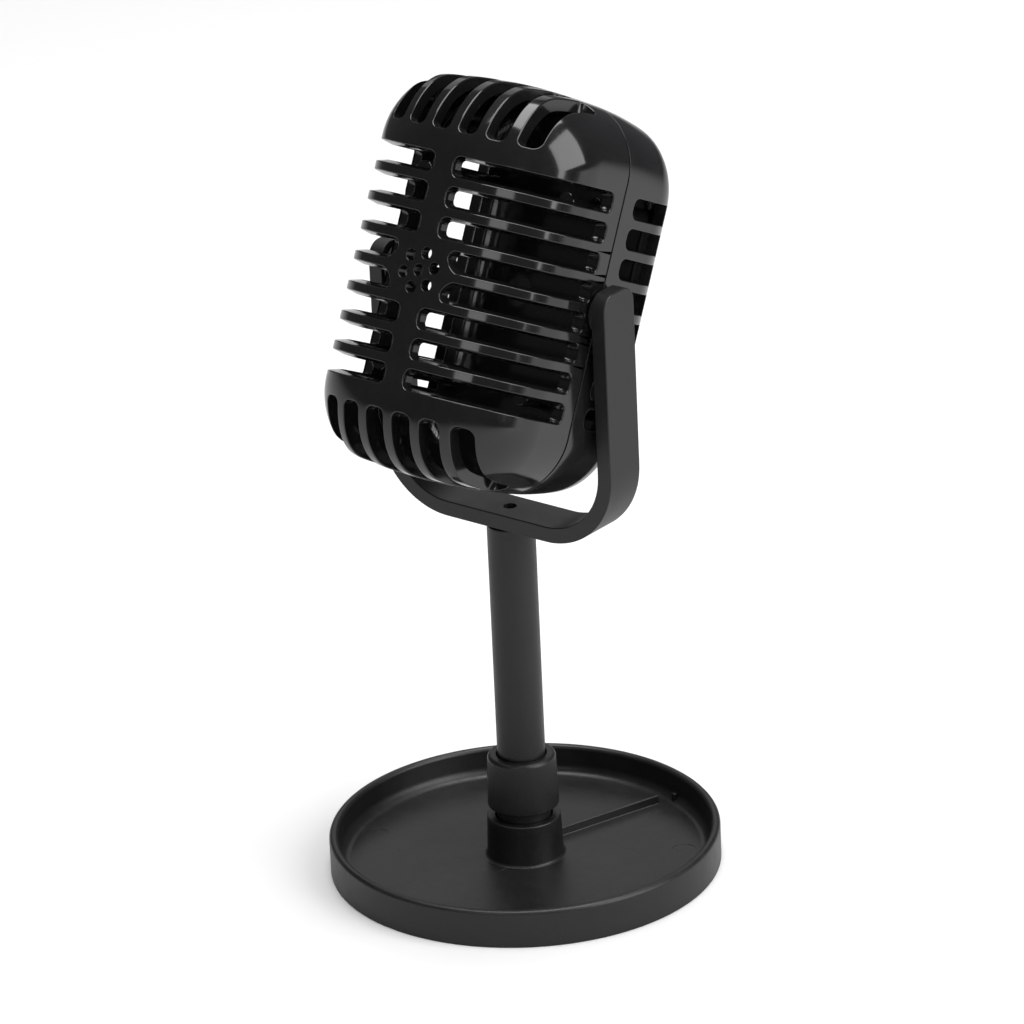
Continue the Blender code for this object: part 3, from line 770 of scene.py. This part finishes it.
def mirrored_openings(piece, edge, plane, fillet, taper):
    edge = tidy(edge)
    return [opening(piece, edge * (side_x, 1.0, side_z), plane, fillet, taper)
            for side_x, side_z in CORNERS]


# ---- head shells ------------------------------------------------------------
def far_from(flat, loops, reach):
    """Which flat points keep a distance from all loops."""
    keep = np.ones(len(flat), bool)
    for _, loop, _ in loops:
        for part in np.array_split(loop, max(1, len(loop) // 150)):
            low, high = part.min(0) - reach, part.max(0) + reach
            near = np.nonzero(keep & ((flat > low) & (flat < high)).all(1))[0]
            if len(near):
                distance = np.linalg.norm(flat[near][:, None] - part[None], axis=2).min(1)
                keep[near[distance < reach]] = False
    return keep


def skin_seeds(facing, step):
    """Points all over a shell's skin, closer where it curves."""
    radius = FRONT_PLAN_R if facing < 0 else BACK_PLAN_R
    turns = np.linspace(0, math.pi / 2, max(8, round(radius * math.pi / 2 / step)) + 1)
    reach = HEAD_PART - 0.15 - HEAD_FRONT if facing < 0 else HEAD_BACK - HEAD_PART - 0.15
    reach -= 0.8
    count = max(3, round((reach - radius) / (1.6 * step)))
    depths = [*(radius * (1 - np.cos(turns))), *np.linspace(radius, reach, count + 1)[1:]]
    return np.vstack([outline_at(HEAD_FRONT + depth if facing < 0 else HEAD_BACK - depth, step)
                      for depth in depths])


def parting_edge(facing):
    """A shell's open edge, with the notches where the pivot pins cross it."""
    y, radius = HEAD_PART + facing * 0.26, PIVOT_R + GAP
    half = math.sqrt(radius * radius - y * y)
    ring = outline_at(y, 0.9)
    turn = math.acos(-y / radius)
    if facing < 0:
        turns = np.linspace(-turn, turn, 13)
    else:
        turns = np.linspace(-turn, turn - 2 * math.pi, 29)
    notch = side_hit(-radius * np.cos(turns), radius * np.sin(turns))
    clear = ~((np.abs(ring[:, 0]) > 30) & (np.abs(ring[:, 2]) < half + 0.3))
    upper, lower = ring[clear & (ring[:, 2] > 0)], ring[clear & (ring[:, 2] < 0)]
    return tidy(np.concatenate([notch, upper, notch * (-1.0, 1.0, -1.0), lower]))


def close_shell(piece, facing, outer, inner, name):
    """The border and both skins, round the loops of the outer and the inner one."""
    border = opening(piece, parting_edge(facing), plane=(1.0, 0.0, 1.0), fillet=0.14, taper=0.0,
                     towards=np.array((0.0, facing, 0.0)))
    for loops, step, sign in (([border[0], *outer], 1.25, 1), ([border[1], *inner], 2.4, -1)):
        points = skin_seeds(facing, step)
        flat = laid_flat(points)
        keep = far_from(flat, loops, 0.45 * step)
        points, flat = points[keep], flat[keep]
        _, first = np.unique(np.round(flat, 3), axis=0, return_index=True)
        points, flat = points[first], flat[first]
        normals = skin_normal(points)
        index = piece.add(points if sign > 0 else points - normals * WALL)
        piece.fill(loops, (index, flat, normals * sign))
    return piece.build(name, HEAD)


def make_front():
    """Side slots, top slots, and a ring of round holes about one in the middle."""
    piece = Piece()
    loops = []
    for row, middle in enumerate(SLOT_MIDS):
        bevelled = row == 3
        edge = side_slot(middle, SHORT_SLOT_START if bevelled else COLUMN_HALF, bevelled)
        loops += mirrored_openings(piece, edge, plane=(1.0, 1.0, 0.0), fillet=0.36, taper=0.75)
    for column in range(3):
        edge = top_slot((column + 0.5) * TOP_PITCH)
        loops += mirrored_openings(piece, edge, plane=(0.0, 1.0, 1.0), fillet=0.36, taper=0.55)
    for k in range(7):
        turn = math.radians(15 + 60 * k)
        reach = 0.0 if k == 6 else HOLE_RING
        ring = circle(reach * math.cos(turn), reach * math.sin(turn), HOLE_R, 36)
        edge = face_hit(ring[:, 0], ring[:, 1], -1)
        loops.append(opening(piece, edge, plane=(1.0, 1.0, 1.0), fillet=0.16, taper=0.12))
    outer, inner = zip(*loops)
    return close_shell(piece, -1, outer, inner, "head_front_shell")


def inner_ring(x, z, radius):
    """A circle along the depth where it meets the rear shell's inner skin: the
    points, those of the outer skin straight over them, and the normals."""
    want = circle(x, z, radius, POST_STEPS)
    at = want.copy()
    for _ in range(25):
        over = face_hit(at[:, 0], at[:, 1], 1)
        at = at + 0.8 * (want + skin_normal(over)[:, (0, 2)] * WALL - at)
    over = face_hit(at[:, 0], at[:, 1], 1)
    normals = skin_normal(over)
    return over - normals * WALL, over, normals


def inside_mark(piece, x):
    """A shallow round mark on the inside of the back. Returns its loop."""
    z, steps, floor_y = 1.0, 48, HEAD_BACK - WALL
    # radius and depth of each ring
    stages = ((3.3, 0.0), (3.26, 0.03), (3.2, 0.1), (3.1, 0.11))
    rings = [piece.add(with_y(circle(x, z, radius, steps), floor_y + depth))
             for radius, depth in stages]
    forwards = np.array([(0, -1.0, 0)])
    out = with_y(circle(0, 0, 1, steps), 0.0)
    slanted = unit(-out + forwards)
    piece.strip(rings[0], rings[1], forwards, slanted)
    piece.strip(rings[1], rings[2], -out, -out)
    piece.strip(rings[2], rings[3], slanted, forwards)
    piece.fan(rings[3], (x, floor_y + 0.11, z), (0, -1, 0))
    return rings[0], circle(x, z, 3.3, steps), forwards


def rear_post(piece, x, z):
    """A screw well in the rear shell and the post round its bore. Returns its loops
    in the outer and the inner skin."""
    well_r, bore_r, post_r, lip_r, fillet = 2.35, 1.5, 3.0, 2.8, 0.3
    seat_y, end_y = 8.0, HEAD_PART + 1.0

    def tube_row(radius, y):
        return piece.add(with_y(circle(x, z, radius, POST_STEPS), y))

    ring = circle(x, z, well_r, POST_STEPS)
    edge = face_hit(ring[:, 0], ring[:, 1], 1)
    normals = skin_normal(edge)
    away = outward_on_skin(edge, normals)
    backwards = np.array([(0, 1.0, 0)])
    out = with_y(circle(0, 0, 1, POST_STEPS), 0.0)
    rows = []
    for turn in quarter(4):
        arm = -backwards * math.cos(turn) + away * math.sin(turn)
        rows.append((piece.add(edge + (away - backwards) * fillet - fillet * arm),
                     unit(-arm) if rows else normals))
    rows.append((tube_row(well_r, seat_y), -out))
    piece.strips(rows)
    seat = tube_row(bore_r, seat_y)
    bore = tube_row(bore_r, end_y)
    lip = tube_row(lip_r, end_y)
    low, over, inner_normals = inner_ring(x, z, post_r)
    top = piece.add(low)
    wall = tube_row(post_r, end_y + 0.2)
    piece.strip(rows[-1][0], seat, backwards, backwards)
    piece.strip(seat, bore, -out, -out)
    piece.strip(bore, lip, -backwards, -backwards)
    piece.strip(lip, wall, -backwards, out)
    piece.strip(wall, top, out, out)
    return ((rows[0][0], laid_flat(edge + away * fillet), normals),
            (top, laid_flat(over), -inner_normals))


def make_rear():
    piece = Piece()
    loops = []
    for middle in SLOT_MIDS:
        loops += mirrored_openings(piece, rear_slot(middle), plane=(1.0, 0.0, 0.0),
                                   fillet=0.3, taper=0.2)
    outer, inner = (list(side) for side in zip(*loops))
    for x in (-10.0, 10.0):
        inner.append(inside_mark(piece, x))
    for side_x, side_z in CORNERS:
        outer_loop, inner_loop = rear_post(piece, side_x * POST_X, side_z * POST_Z)
        outer.append(outer_loop)
        inner.append(inner_loop)
    return close_shell(piece, 1, outer, inner, "head_rear_shell")


def make_front_boss(number, side_x, side_z):
    """A short screw boss inside the front shell, and the web that ties it to
    the side wall."""
    end = HEAD_PART - GAP - 0.5
    place = HEAD @ Matrix.Translation((side_x * POST_X, 0, side_z * POST_Z))
    boss = lathed(f"head_front_boss_{number}",
                  [(0.0, -11.5), (1.4, -11.5, 0.15), (1.4, end, 0.15), (2.6, end, 0.25),
                   (2.6, -13.5, 0.4), (0.0, -13.5)],
                  place @ Z_TO_Y, steps=64, count=4, closed=False)
    piece = Piece()
    low, high = sorted((side_x * 1.9, side_x * 7.8))
    outline = rounded([(low, -5.4, 0.3), (high, -5.4, 0.3), (high, end - 0.1, 0.3),
                       (low, end - 0.1, 0.3)], 4)
    stack(piece, outline, rounded([(-0.25, 1.0), (0.0, 1.0, 0.18), (0.0, -1.0, 0.18),
                                   (-0.25, -1.0)], 4, closed=False))
    return boss, piece.build(f"head_front_web_{number}", place)


dress(make_front(), GLOSS, "head", "front_shell")
for number, corner in enumerate(CORNERS, 1):
    for extra in make_front_boss(number, *corner):
        dress(extra, GLOSS, "head")
dress(make_rear(), GLOSS, "head", "rear_shell")


# ---- yoke -------------------------------------------------------------------
# the strip runs from the left arm's tip, down, across and up to the right arm's tip
ARM = YOKE_TOP - YOKE_BOTTOM - YOKE_R
BEND = YOKE_R * math.pi / 2
SPAN = 2 * (YOKE_HALF - YOKE_R)
STRIP = 2 * ARM + 2 * BEND + SPAN


def bend_point(centre_x, turn):
    out = np.array((math.cos(turn), math.sin(turn)))
    return np.array((centre_x, YOKE_BOTTOM + YOKE_R)) + YOKE_R * out, (-out[1], out[0])


def strip_frame(distances):
    """Outer face point, direction along the strip and direction inwards, in XZ."""
    points, along = [], []
    for run in distances:
        if run <= ARM:
            point, way = (-YOKE_HALF, YOKE_TOP - run), (0, -1)
        elif run < ARM + BEND:
            point, way = bend_point(-YOKE_HALF + YOKE_R, math.pi + (run - ARM) / YOKE_R)
        elif run <= ARM + BEND + SPAN:
            point, way = (-YOKE_HALF + YOKE_R + run - ARM - BEND, YOKE_BOTTOM), (1, 0)
        elif run < ARM + 2 * BEND + SPAN:
            point, way = bend_point(YOKE_HALF - YOKE_R,
                                    1.5 * math.pi + (run - ARM - BEND - SPAN) / YOKE_R)
        else:
            z = YOKE_BOTTOM + YOKE_R + run - ARM - 2 * BEND - SPAN
            point, way = (YOKE_HALF, z), (0, 1)
        points.append(point)
        along.append(way)
    along = np.array(along, float)
    return np.array(points), along, np.column_stack([-along[:, 1], along[:, 0]])


def yoke_place(flat, deep):
    """Points at (distance along, across) of the strip, deep below its outer face."""
    points, _, inward = strip_frame(flat[:, 0])
    at = points + inward * deep
    return np.column_stack([at[:, 0], flat[:, 1], at[:, 1]])


def yoke_turn(flat, away, down):
    """Directions from (along, across) and depth components."""
    _, along, inward = strip_frame(flat[:, 0])
    way = along * away[:, :1] + inward * down
    return unit(np.column_stack([way[:, 0], away[:, 1], way[:, 1]]))


def yoke_outline(inset):
    """The strip's flat outline, moved inwards, and the directions out of it."""
    radius, half = YOKE_TIP_R, YOKE_W / 2
    longs = np.linspace(radius, STRIP - radius, 190)
    turns = np.radians(np.linspace(0, 90, 12))
    cos, sin = np.cos(turns), np.sin(turns)

    def edge(across, way):
        return np.column_stack(np.broadcast_arrays(longs, across, 0.0, way))

    def corner(x, y, *away):
        away = np.column_stack(away)
        return np.column_stack([np.array((x, y)) + (radius - inset) * away, away])

    rows = np.concatenate([
        edge(-half + inset, -1.0),
        corner(STRIP - radius, -half + radius, sin, -cos)[1:],
        corner(STRIP - radius, half - radius, cos, sin),
        edge(half - inset, 1.0)[::-1][1:],
        corner(radius, half - radius, -sin, cos)[1:],
        corner(radius, -half + radius, -cos, -sin)[:-1]])
    flat, away = rows[:, :2], rows[:, 2:]
    # the arms' ends are slightly crowned
    bow = 0.3 * (flat[:, 1] / half) ** 2
    from_middle = flat[:, 0] - STRIP / 2
    tip = np.clip((np.abs(from_middle) - (STRIP / 2 - radius)) / radius, 0, 1)
    flat[:, 0] -= np.sign(from_middle) * bow * tip
    return flat, away


def yoke_hole(piece, run, stages):
    """Loops round a hole at a distance along the strip. A stage is a radius, a depth,
    and the outward and the depth share of its normal."""
    count = 40
    loops = []
    for radius, deep, side, down in stages:
        flat = circle(run, 0.0, radius, count)
        normals = yoke_turn(np.tile((run, 0.0), (count, 1)), circle(0, 0, 1, count) * side, down)
        loops.append((piece.add(yoke_place(flat, deep)), flat, normals))
    piece.strips(loops)
    return loops


def make_yoke():
    piece = Piece()
    rows = []
    sides = [(turn, -1) for turn in quarter(4)] + [(turn, 1) for turn in reversed(quarter(4))]
    for turn, down in sides:
        flat, away = yoke_outline(YOKE_FILLET * (1 - math.sin(turn)))
        deep = YOKE_FILLET * (1 - math.cos(turn))
        if down > 0:
            deep = YOKE_T - deep
        rows.append((piece.add(yoke_place(flat, deep)), flat,
                     yoke_turn(flat, away * math.sin(turn), down * math.cos(turn))))
    piece.strips(rows)

    # a stepped bore in the middle; rings repeated at one place give it sharp edges
    bore = yoke_hole(piece, STRIP / 2, [
        (1.95, YOKE_T, 0.0, 1.0), (1.8, YOKE_T - 0.06, -0.7, 0.7), (1.75, YOKE_T - 0.2, -1.0, 0.0),
        (1.75, 1.8, -1.0, 0.0), (1.75, 1.8, 0.0, 1.0), (1.3, 1.8, 0.0, 1.0),
        (1.3, 1.8, -1.0, 0.0), (1.3, 0.15, -1.0, 0.0), (1.34, 0.04, -0.7, -0.7),
        (1.45, 0.0, 0.0, -1.0)])
    inner_holes = [bore[0]]
    # blind holes for the pivot pins
    blind_floor = YOKE_T - 3.0
    for run in (YOKE_TOP - PIVOT_Z, STRIP - (YOKE_TOP - PIVOT_Z)):
        blind = yoke_hole(piece, run, [
            (2.85, YOKE_T, 0.0, 1.0), (2.74, YOKE_T - 0.04, -0.7, 0.7),
            (2.7, YOKE_T - 0.15, -1.0, 0.0), (2.7, blind_floor, -1.0, 0.0)])
        middle = np.array([(run, 0.0)])
        piece.fan(blind[-1][0], yoke_place(middle, blind_floor)[0],
                  yoke_turn(middle, np.zeros((1, 2)), 1.0)[0])
        inner_holes.append(blind[0])

    bends = np.concatenate([np.arange(ARM - 2, ARM + BEND + 2, 1.3),
                            np.arange(ARM + BEND + SPAN - 2, STRIP - ARM + 2, 1.3)])
    seeds = np.array([(run, y) for run in bends for y in (-4.2, -1.4, 1.4, 4.2)])
    for border, deep, down, holes in ((rows[0], 0.0, -1.0, [bore[-1]]),
                                      (rows[-1], YOKE_T, 1.0, inner_holes)):
        index = piece.add(yoke_place(seeds, deep))
        normals = yoke_turn(seeds, np.zeros((len(seeds), 2)), down)
        piece.fill([border] + holes, (index, seeds, normals))
    return piece.build("stand_yoke")


dress(make_yoke(), SATIN, "stand", "yoke")


# ---- base -------------------------------------------------------------------
def make_base():
    """The dish, with four shallow round marks in its floor."""
    piece = Piece()
    wall_in, well_r, hole_r, ledge = BASE_R - RIM_THICK, 4.9, 1.8, SEAT - 1.8
    # (radius, z, corner radius)
    line = rounded([
        (BASE_R, BASE_H, 1.25), (BASE_R, 0, 0.4), (well_r, 0, 0.3), (well_r, ledge, 0.15),
        (hole_r, ledge, 0.1), (hole_r, SEAT, 0.1), (SPIGOT_R + GAP, SEAT, 0.3),
        (SPIGOT_R + GAP, SOCKET_TOP, 0.35), (SOCKET_R + 0.1, SOCKET_TOP, 0.42),
        (SOCKET_R + 0.5, FLOOR_T, 0.9), (wall_in - 0.35, FLOOR_T, FLOOR_FILLET),
        (wall_in, BASE_H, 1.2)], 6)
    # the long level stretch is left open and filled round the marks
    on_floor = np.abs(line[:, 1] - FLOOR_T) < 1e-6
    wide = np.abs(line[:, 0] - np.roll(line[:, 0], -1)) > 20
    floor_row = int(np.argmax(on_floor & np.roll(on_floor, -1) & wide))
    steps = 200
    rows = lathe(piece, line, steps, open_row=floor_row)
    loops = [(rows[k], circle(0, 0, line[k][0], steps), UP) for k in (floor_row + 1, floor_row)]
    farthest = 44.6
    # x, y and radius of each mark
    for x, y, radius in ((-44.1, -14.2, 3.2), (18.4, 38.8, 3.2), (36.4, 25.1, 3.3),
                         (4.6, -13.4, 3.1)):
        scale = min(1.0, farthest / math.hypot(x, y))
        loops.append(sunk(piece, circle(x * scale, y * scale, radius, 56), FLOOR_T,
                          depth=0.09, taper=0.0, fillet=0.06))
    piece.fill(loops)
    return piece.build("dish_base")


def raised(name, outline, line):
    """A bar on the base's floor, its outline given with the radius along X."""
    piece = Piece()
    stack(piece, outline, line)
    return piece.build(name, Matrix.Rotation(math.radians(RIB_AZIMUTH), 4, "Z"))


def make_rib():
    """A long low bar from the socket outwards."""
    near, far, half = 8.8, 47.2, 0.5
    outline = rounded([(near, RIB_SIDE - half), (far, RIB_SIDE - half, 0.5),
                       (far, RIB_SIDE + half, 0.5), (near, RIB_SIDE + half)], 4)
    line = rounded([(-0.5, 5.0), (-0.06, 5.0, 0.22), (0.06, 2.7, 0.3), (0.4, 2.58), (0.4, 2.3)],
                   4, closed=False)
    # the top row stops short of the bar's middle line
    line[0][0] = -0.3
    return raised("dish_base_rib", outline, line)


def make_nub():
    """A short block at the wall."""
    near, far, half = 50.5, 53.0, 0.9
    outline = rounded([(near, -half, 0.7), (far, -half), (far, half), (near, half, 0.7)], 4)
    line = rounded([(-0.5, 5.2), (0.0, 5.2, 0.4), (0.1, 2.7, 0.3), (0.3, 2.57), (0.3, 2.2)],
                   4, closed=False)
    return raised("dish_base_nub", outline, line)


dress(make_base(), BASE, "base", "base_tray")
dress(make_rib(), BASE, "base")
dress(make_nub(), BASE, "base")


# ---- turned pieces ----------------------------------------------------------
def cross_outline(reach, half):
    """A cross recess for a screwdriver, with softened inner corners."""
    corners = []
    for k in range(4):
        cos, sin = math.cos(k * math.pi / 2), math.sin(k * math.pi / 2)
        for x, y, radius in ((half * 1.25, -half * 1.25, 0.15), (reach, -half, half * 0.5),
                             (reach, half, half * 0.5)):
            corners.append((cos * x - sin * y, sin * x + cos * y, radius))
    return rounded(corners, 4)


def make_screw(name, head_r, head_h, shank_r, length, matrix, pitch=0.9):
    """A pan-head screw, its head's top at z 0 and its shank going down."""
    root_r = shank_r * 0.8
    corners = [(head_r * 0.62, 0.0), (head_r * 0.9, -0.06 * head_h, 0.5),
               (head_r, -0.5 * head_h, 0.4), (head_r, -head_h, 0.1), (shank_r, -head_h, 0.12)]
    z = -head_h - 1.0
    while z > -length + 1.6:
        corners += [(root_r, z), (shank_r, z - 0.28 * pitch), (root_r, z - 0.56 * pitch)]
        z -= pitch
    corners += [(root_r, -length + 1.3), (0.0, -length)]
    line = rounded(corners, 3, closed=False)
    piece = Piece()
    rows = lathe(piece, line, 64, closed=False)
    recess = sunk(piece, cross_outline(head_r * 0.5, head_r * 0.085), 0.0,
                  depth=head_h * 0.6, taper=head_r * 0.03, fillet=0.03)
    piece.fill([(rows[0], circle(0, 0, line[0][0], 64), UP), recess])
    return piece.build(name, matrix)


def make_collar():
    bore_r, spigot_foot, collar_seat = POLE_R + GAP, SEAT + GAP, POLE_FOOT - GAP
    return lathed("pole_collar_turned", [
        (bore_r, COLLAR_TOP, 0.25), (COLLAR_R - 0.15, COLLAR_TOP, 2.2),
        (COLLAR_R + 0.3, COLLAR_BOTTOM, 0.4), (SPIGOT_R, COLLAR_BOTTOM, 0.3),
        (SPIGOT_R, spigot_foot, 0.5), (1.6, spigot_foot), (1.6, 12.6), (1.0, 13.0),
        (1.0, collar_seat), (bore_r, collar_seat, 0.2)], steps=128, count=7)


def make_pole():
    return lathed("pole_tube_turned", [
        (POLE_R, POLE_TOP, 0.35), (POLE_R, POLE_FOOT, 0.35), (POLE_BORE_R, POLE_FOOT, 0.15),
        (POLE_BORE_R, POLE_TOP, 0.15)], steps=128)


def make_plug():
    plug_r, foot, bore_r = POLE_BORE_R - GAP, YOKE_BOTTOM - 18.0, 1.3
    return lathed("pole_top_plug_turned", [
        (plug_r, POLE_TOP, 0.2), (plug_r, foot, 0.5), (bore_r, foot, 0.1),
        (bore_r, POLE_TOP, 0.1)])


def make_swivel_washer():
    outer_r, inner_r, top, bottom = 4.4, 1.6, SEAT - 2.1, SEAT - 2.8
    return lathed("swivel_washer_turned", [
        (outer_r, top, 0.1), (outer_r, bottom, 0.1), (inner_r, bottom, 0.08),
        (inner_r, top, 0.08)], steps=64, count=3)


ARM_IN = YOKE_HALF - YOKE_T


def make_pin(name, matrix):
    """A pivot pin with a flange inside the head."""
    tip, flange, flange_r = ARM_IN + 2.7, HEAD_HALF_W - WALL - GAP - 0.25, 4.6
    return lathed(name, [
        (0.0, tip), (PIVOT_R, tip, 0.3), (PIVOT_R, flange, 0.1), (flange_r, flange, 0.2),
        (flange_r, flange - 1.4, 0.3), (0.0, flange - 1.4)],
        matrix, steps=72, count=4, closed=False)


def make_pivot_washer(name, matrix):
    outer_r, inner_r = 6.0, PIVOT_R + GAP
    outer_face, inner_face = ARM_IN - GAP, HEAD_HALF_W + 0.4
    return lathed(name, [
        (outer_r, outer_face, 0.2), (outer_r, inner_face, 0.2), (inner_r, inner_face, 0.1),
        (inner_r, outer_face, 0.1)], matrix, steps=72, count=3)


dress(make_collar(), SATIN, "stand", "pole_collar")
dress(make_pole(), SATIN, "stand", "pole_tube")
dress(make_plug(), NYLON, "stand", "pole_top_plug")
dress(make_swivel_washer(), STEEL, "stand", "swivel_washer")
swivel_place = Matrix.Translation((0, 0, 0.4)) @ Matrix.Rotation(math.pi, 4, "X")
dress(make_screw("swivel_screw_threaded", head_r=2.8, head_h=1.5, shank_r=1.3, length=11.6,
                 matrix=swivel_place), STEEL, "stand", "swivel_screw")
dress(make_screw("yoke_screw_threaded", head_r=1.45, head_h=1.2, shank_r=1.0, length=15.4,
                 matrix=Matrix.Translation((0, 0, YOKE_BOTTOM + 3.3)), pitch=0.7),
      STEEL, "stand", "yoke_screw")
for name, side in (("left", -1), ("right", 1)):
    sideways = (Matrix.Translation((0, 0, PIVOT_Z))
                @ Matrix.Rotation(side * math.pi / 2, 4, "Y"))
    dress(make_pin(f"pivot_pin_{name}_turned", sideways), STEEL, "stand", f"pivot_pin_{name}")
    dress(make_pivot_washer(f"pivot_washer_{name}_turned", sideways), NYLON, "stand",
          f"pivot_washer_{name}")
for number, (side_x, side_z) in enumerate(((-1, 1), (1, 1), (-1, -1), (1, -1)), 1):
    place = HEAD @ Matrix.Translation((side_x * POST_X, 9.9, side_z * POST_Z)) @ Z_TO_Y
    dress(make_screw(f"shell_screw_{number}_threaded", head_r=2.1, head_h=1.6, shank_r=1.1,
                     length=20.9, matrix=place), STEEL, "head", f"shell_screw_{number}")


# ---- stage, in metres -------------------------------------------------------
def make_floor():
    """A pale floor that is darker to all rays but the camera's."""
    mesh = bpy.data.meshes.new("floor")
    mesh.from_pydata([(-3, -3, 0), (3, -3, 0), (3, 3, 0), (-3, 3, 0)], [], [(0, 1, 2, 3)])
    floor = bpy.data.objects.new("floor", mesh)
    bpy.context.scene.collection.objects.link(floor)
    pale = bpy.data.materials.new("pale floor")
    pale.use_nodes = True
    tree = pale.node_tree
    shader = tree.nodes["Principled BSDF"]
    set_inputs(shader, {"Base Color": (0.93, 0.93, 0.93, 1), "Roughness": 0.9,
                        "Specular IOR Level": 0.15})
    seen = add_node(tree, "ShaderNodeLightPath").outputs["Is Camera Ray"]
    tone = add_node(tree, "ShaderNodeMapRange", {"To Min": 0.6, "To Max": 0.93, "Value": seen})
    set_inputs(shader, {"Base Color": tone.outputs["Result"]})
    mesh.materials.append(pale)


def make_world():
    """White to the camera, and dim grey to all other rays."""
    world = bpy.data.worlds.new("studio")
    bpy.context.scene.world = world
    world.use_nodes = True
    tree = world.node_tree
    seen = add_node(tree, "ShaderNodeLightPath").outputs["Is Camera Ray"]
    mix = add_node(tree, "ShaderNodeMix", {
        "A": (0.08, 0.08, 0.083, 1), "B": (1.0, 1.0, 1.0, 1), "Factor": seen}, data_type="RGBA")
    set_inputs(tree.nodes["Background"], {"Color": mix.outputs["Result"], "Strength": 1.0})


def soft_box(name, at, aim, size, power):
    data = bpy.data.lights.new(name, "AREA")
    data.shape = "RECTANGLE"
    data.size, data.size_y = size
    data.energy = power
    obj = bpy.data.objects.new(name, data)
    bpy.context.scene.collection.objects.link(obj)
    obj.location = at
    obj.rotation_mode = "QUATERNION"
    obj.rotation_quaternion = (Vector(aim) - Vector(at)).to_track_quat("-Z", "Y")


def around(azimuth, height, reach):
    """A place about a point 0.2 above the floor, at an azimuth from the front towards
    the right and an angle of height."""
    turn, lift = math.radians(azimuth), math.radians(height)
    return (reach * math.sin(turn) * math.cos(lift), -reach * math.cos(turn) * math.cos(lift),
            0.2 + reach * math.sin(lift))


def make_camera():
    elevation, roll, azimuth = 0.402419, 0.045484, 0.673148
    distance, shift_right, shift_up = 1.885714, 0.00045556, 0.0973615
    back = Vector((math.sin(azimuth) * math.cos(elevation),
                   -math.cos(azimuth) * math.cos(elevation), math.sin(elevation)))
    right = Vector((math.cos(azimuth), math.sin(azimuth), 0))
    upward = back.cross(right)
    data = bpy.data.cameras.new("camera")
    data.sensor_width = 36.0
    data.lens = 236.99
    data.clip_start = 0.05
    data.clip_end = 50
    camera = bpy.data.objects.new("camera", data)
    bpy.context.scene.collection.objects.link(camera)
    x_axis = right * math.cos(roll) - upward * math.sin(roll)
    y_axis = right * math.sin(roll) + upward * math.cos(roll)
    place = back * distance + right * shift_right + upward * shift_up
    camera.matrix_world = Matrix(((*x_axis, 0), (*y_axis, 0), (*back, 0),
                                  (*place, 1))).transposed()
    bpy.context.scene.camera = camera


make_floor()
make_world()
soft_box("right box", at=around(azimuth=98, height=28, reach=1.6), aim=(0, 0, 0.2),
         size=(1.2, 1.5), power=20)
soft_box("front panel", at=around(azimuth=18, height=25, reach=1.7), aim=(0, 0, 0.2),
         size=(0.7, 0.5), power=2.2)
soft_box("lid", at=(0.0, 0.1, 1.9), aim=(0, 0, 0), size=(1.5, 1.5), power=39)
soft_box("back panel", at=around(azimuth=-141, height=27, reach=1.8), aim=(0, 0, 0.05),
         size=(1.4, 0.9), power=2.0)
make_camera()
bpy.context.scene.view_settings.view_transform = "Standard"
bpy.context.scene.view_settings.look = "None"
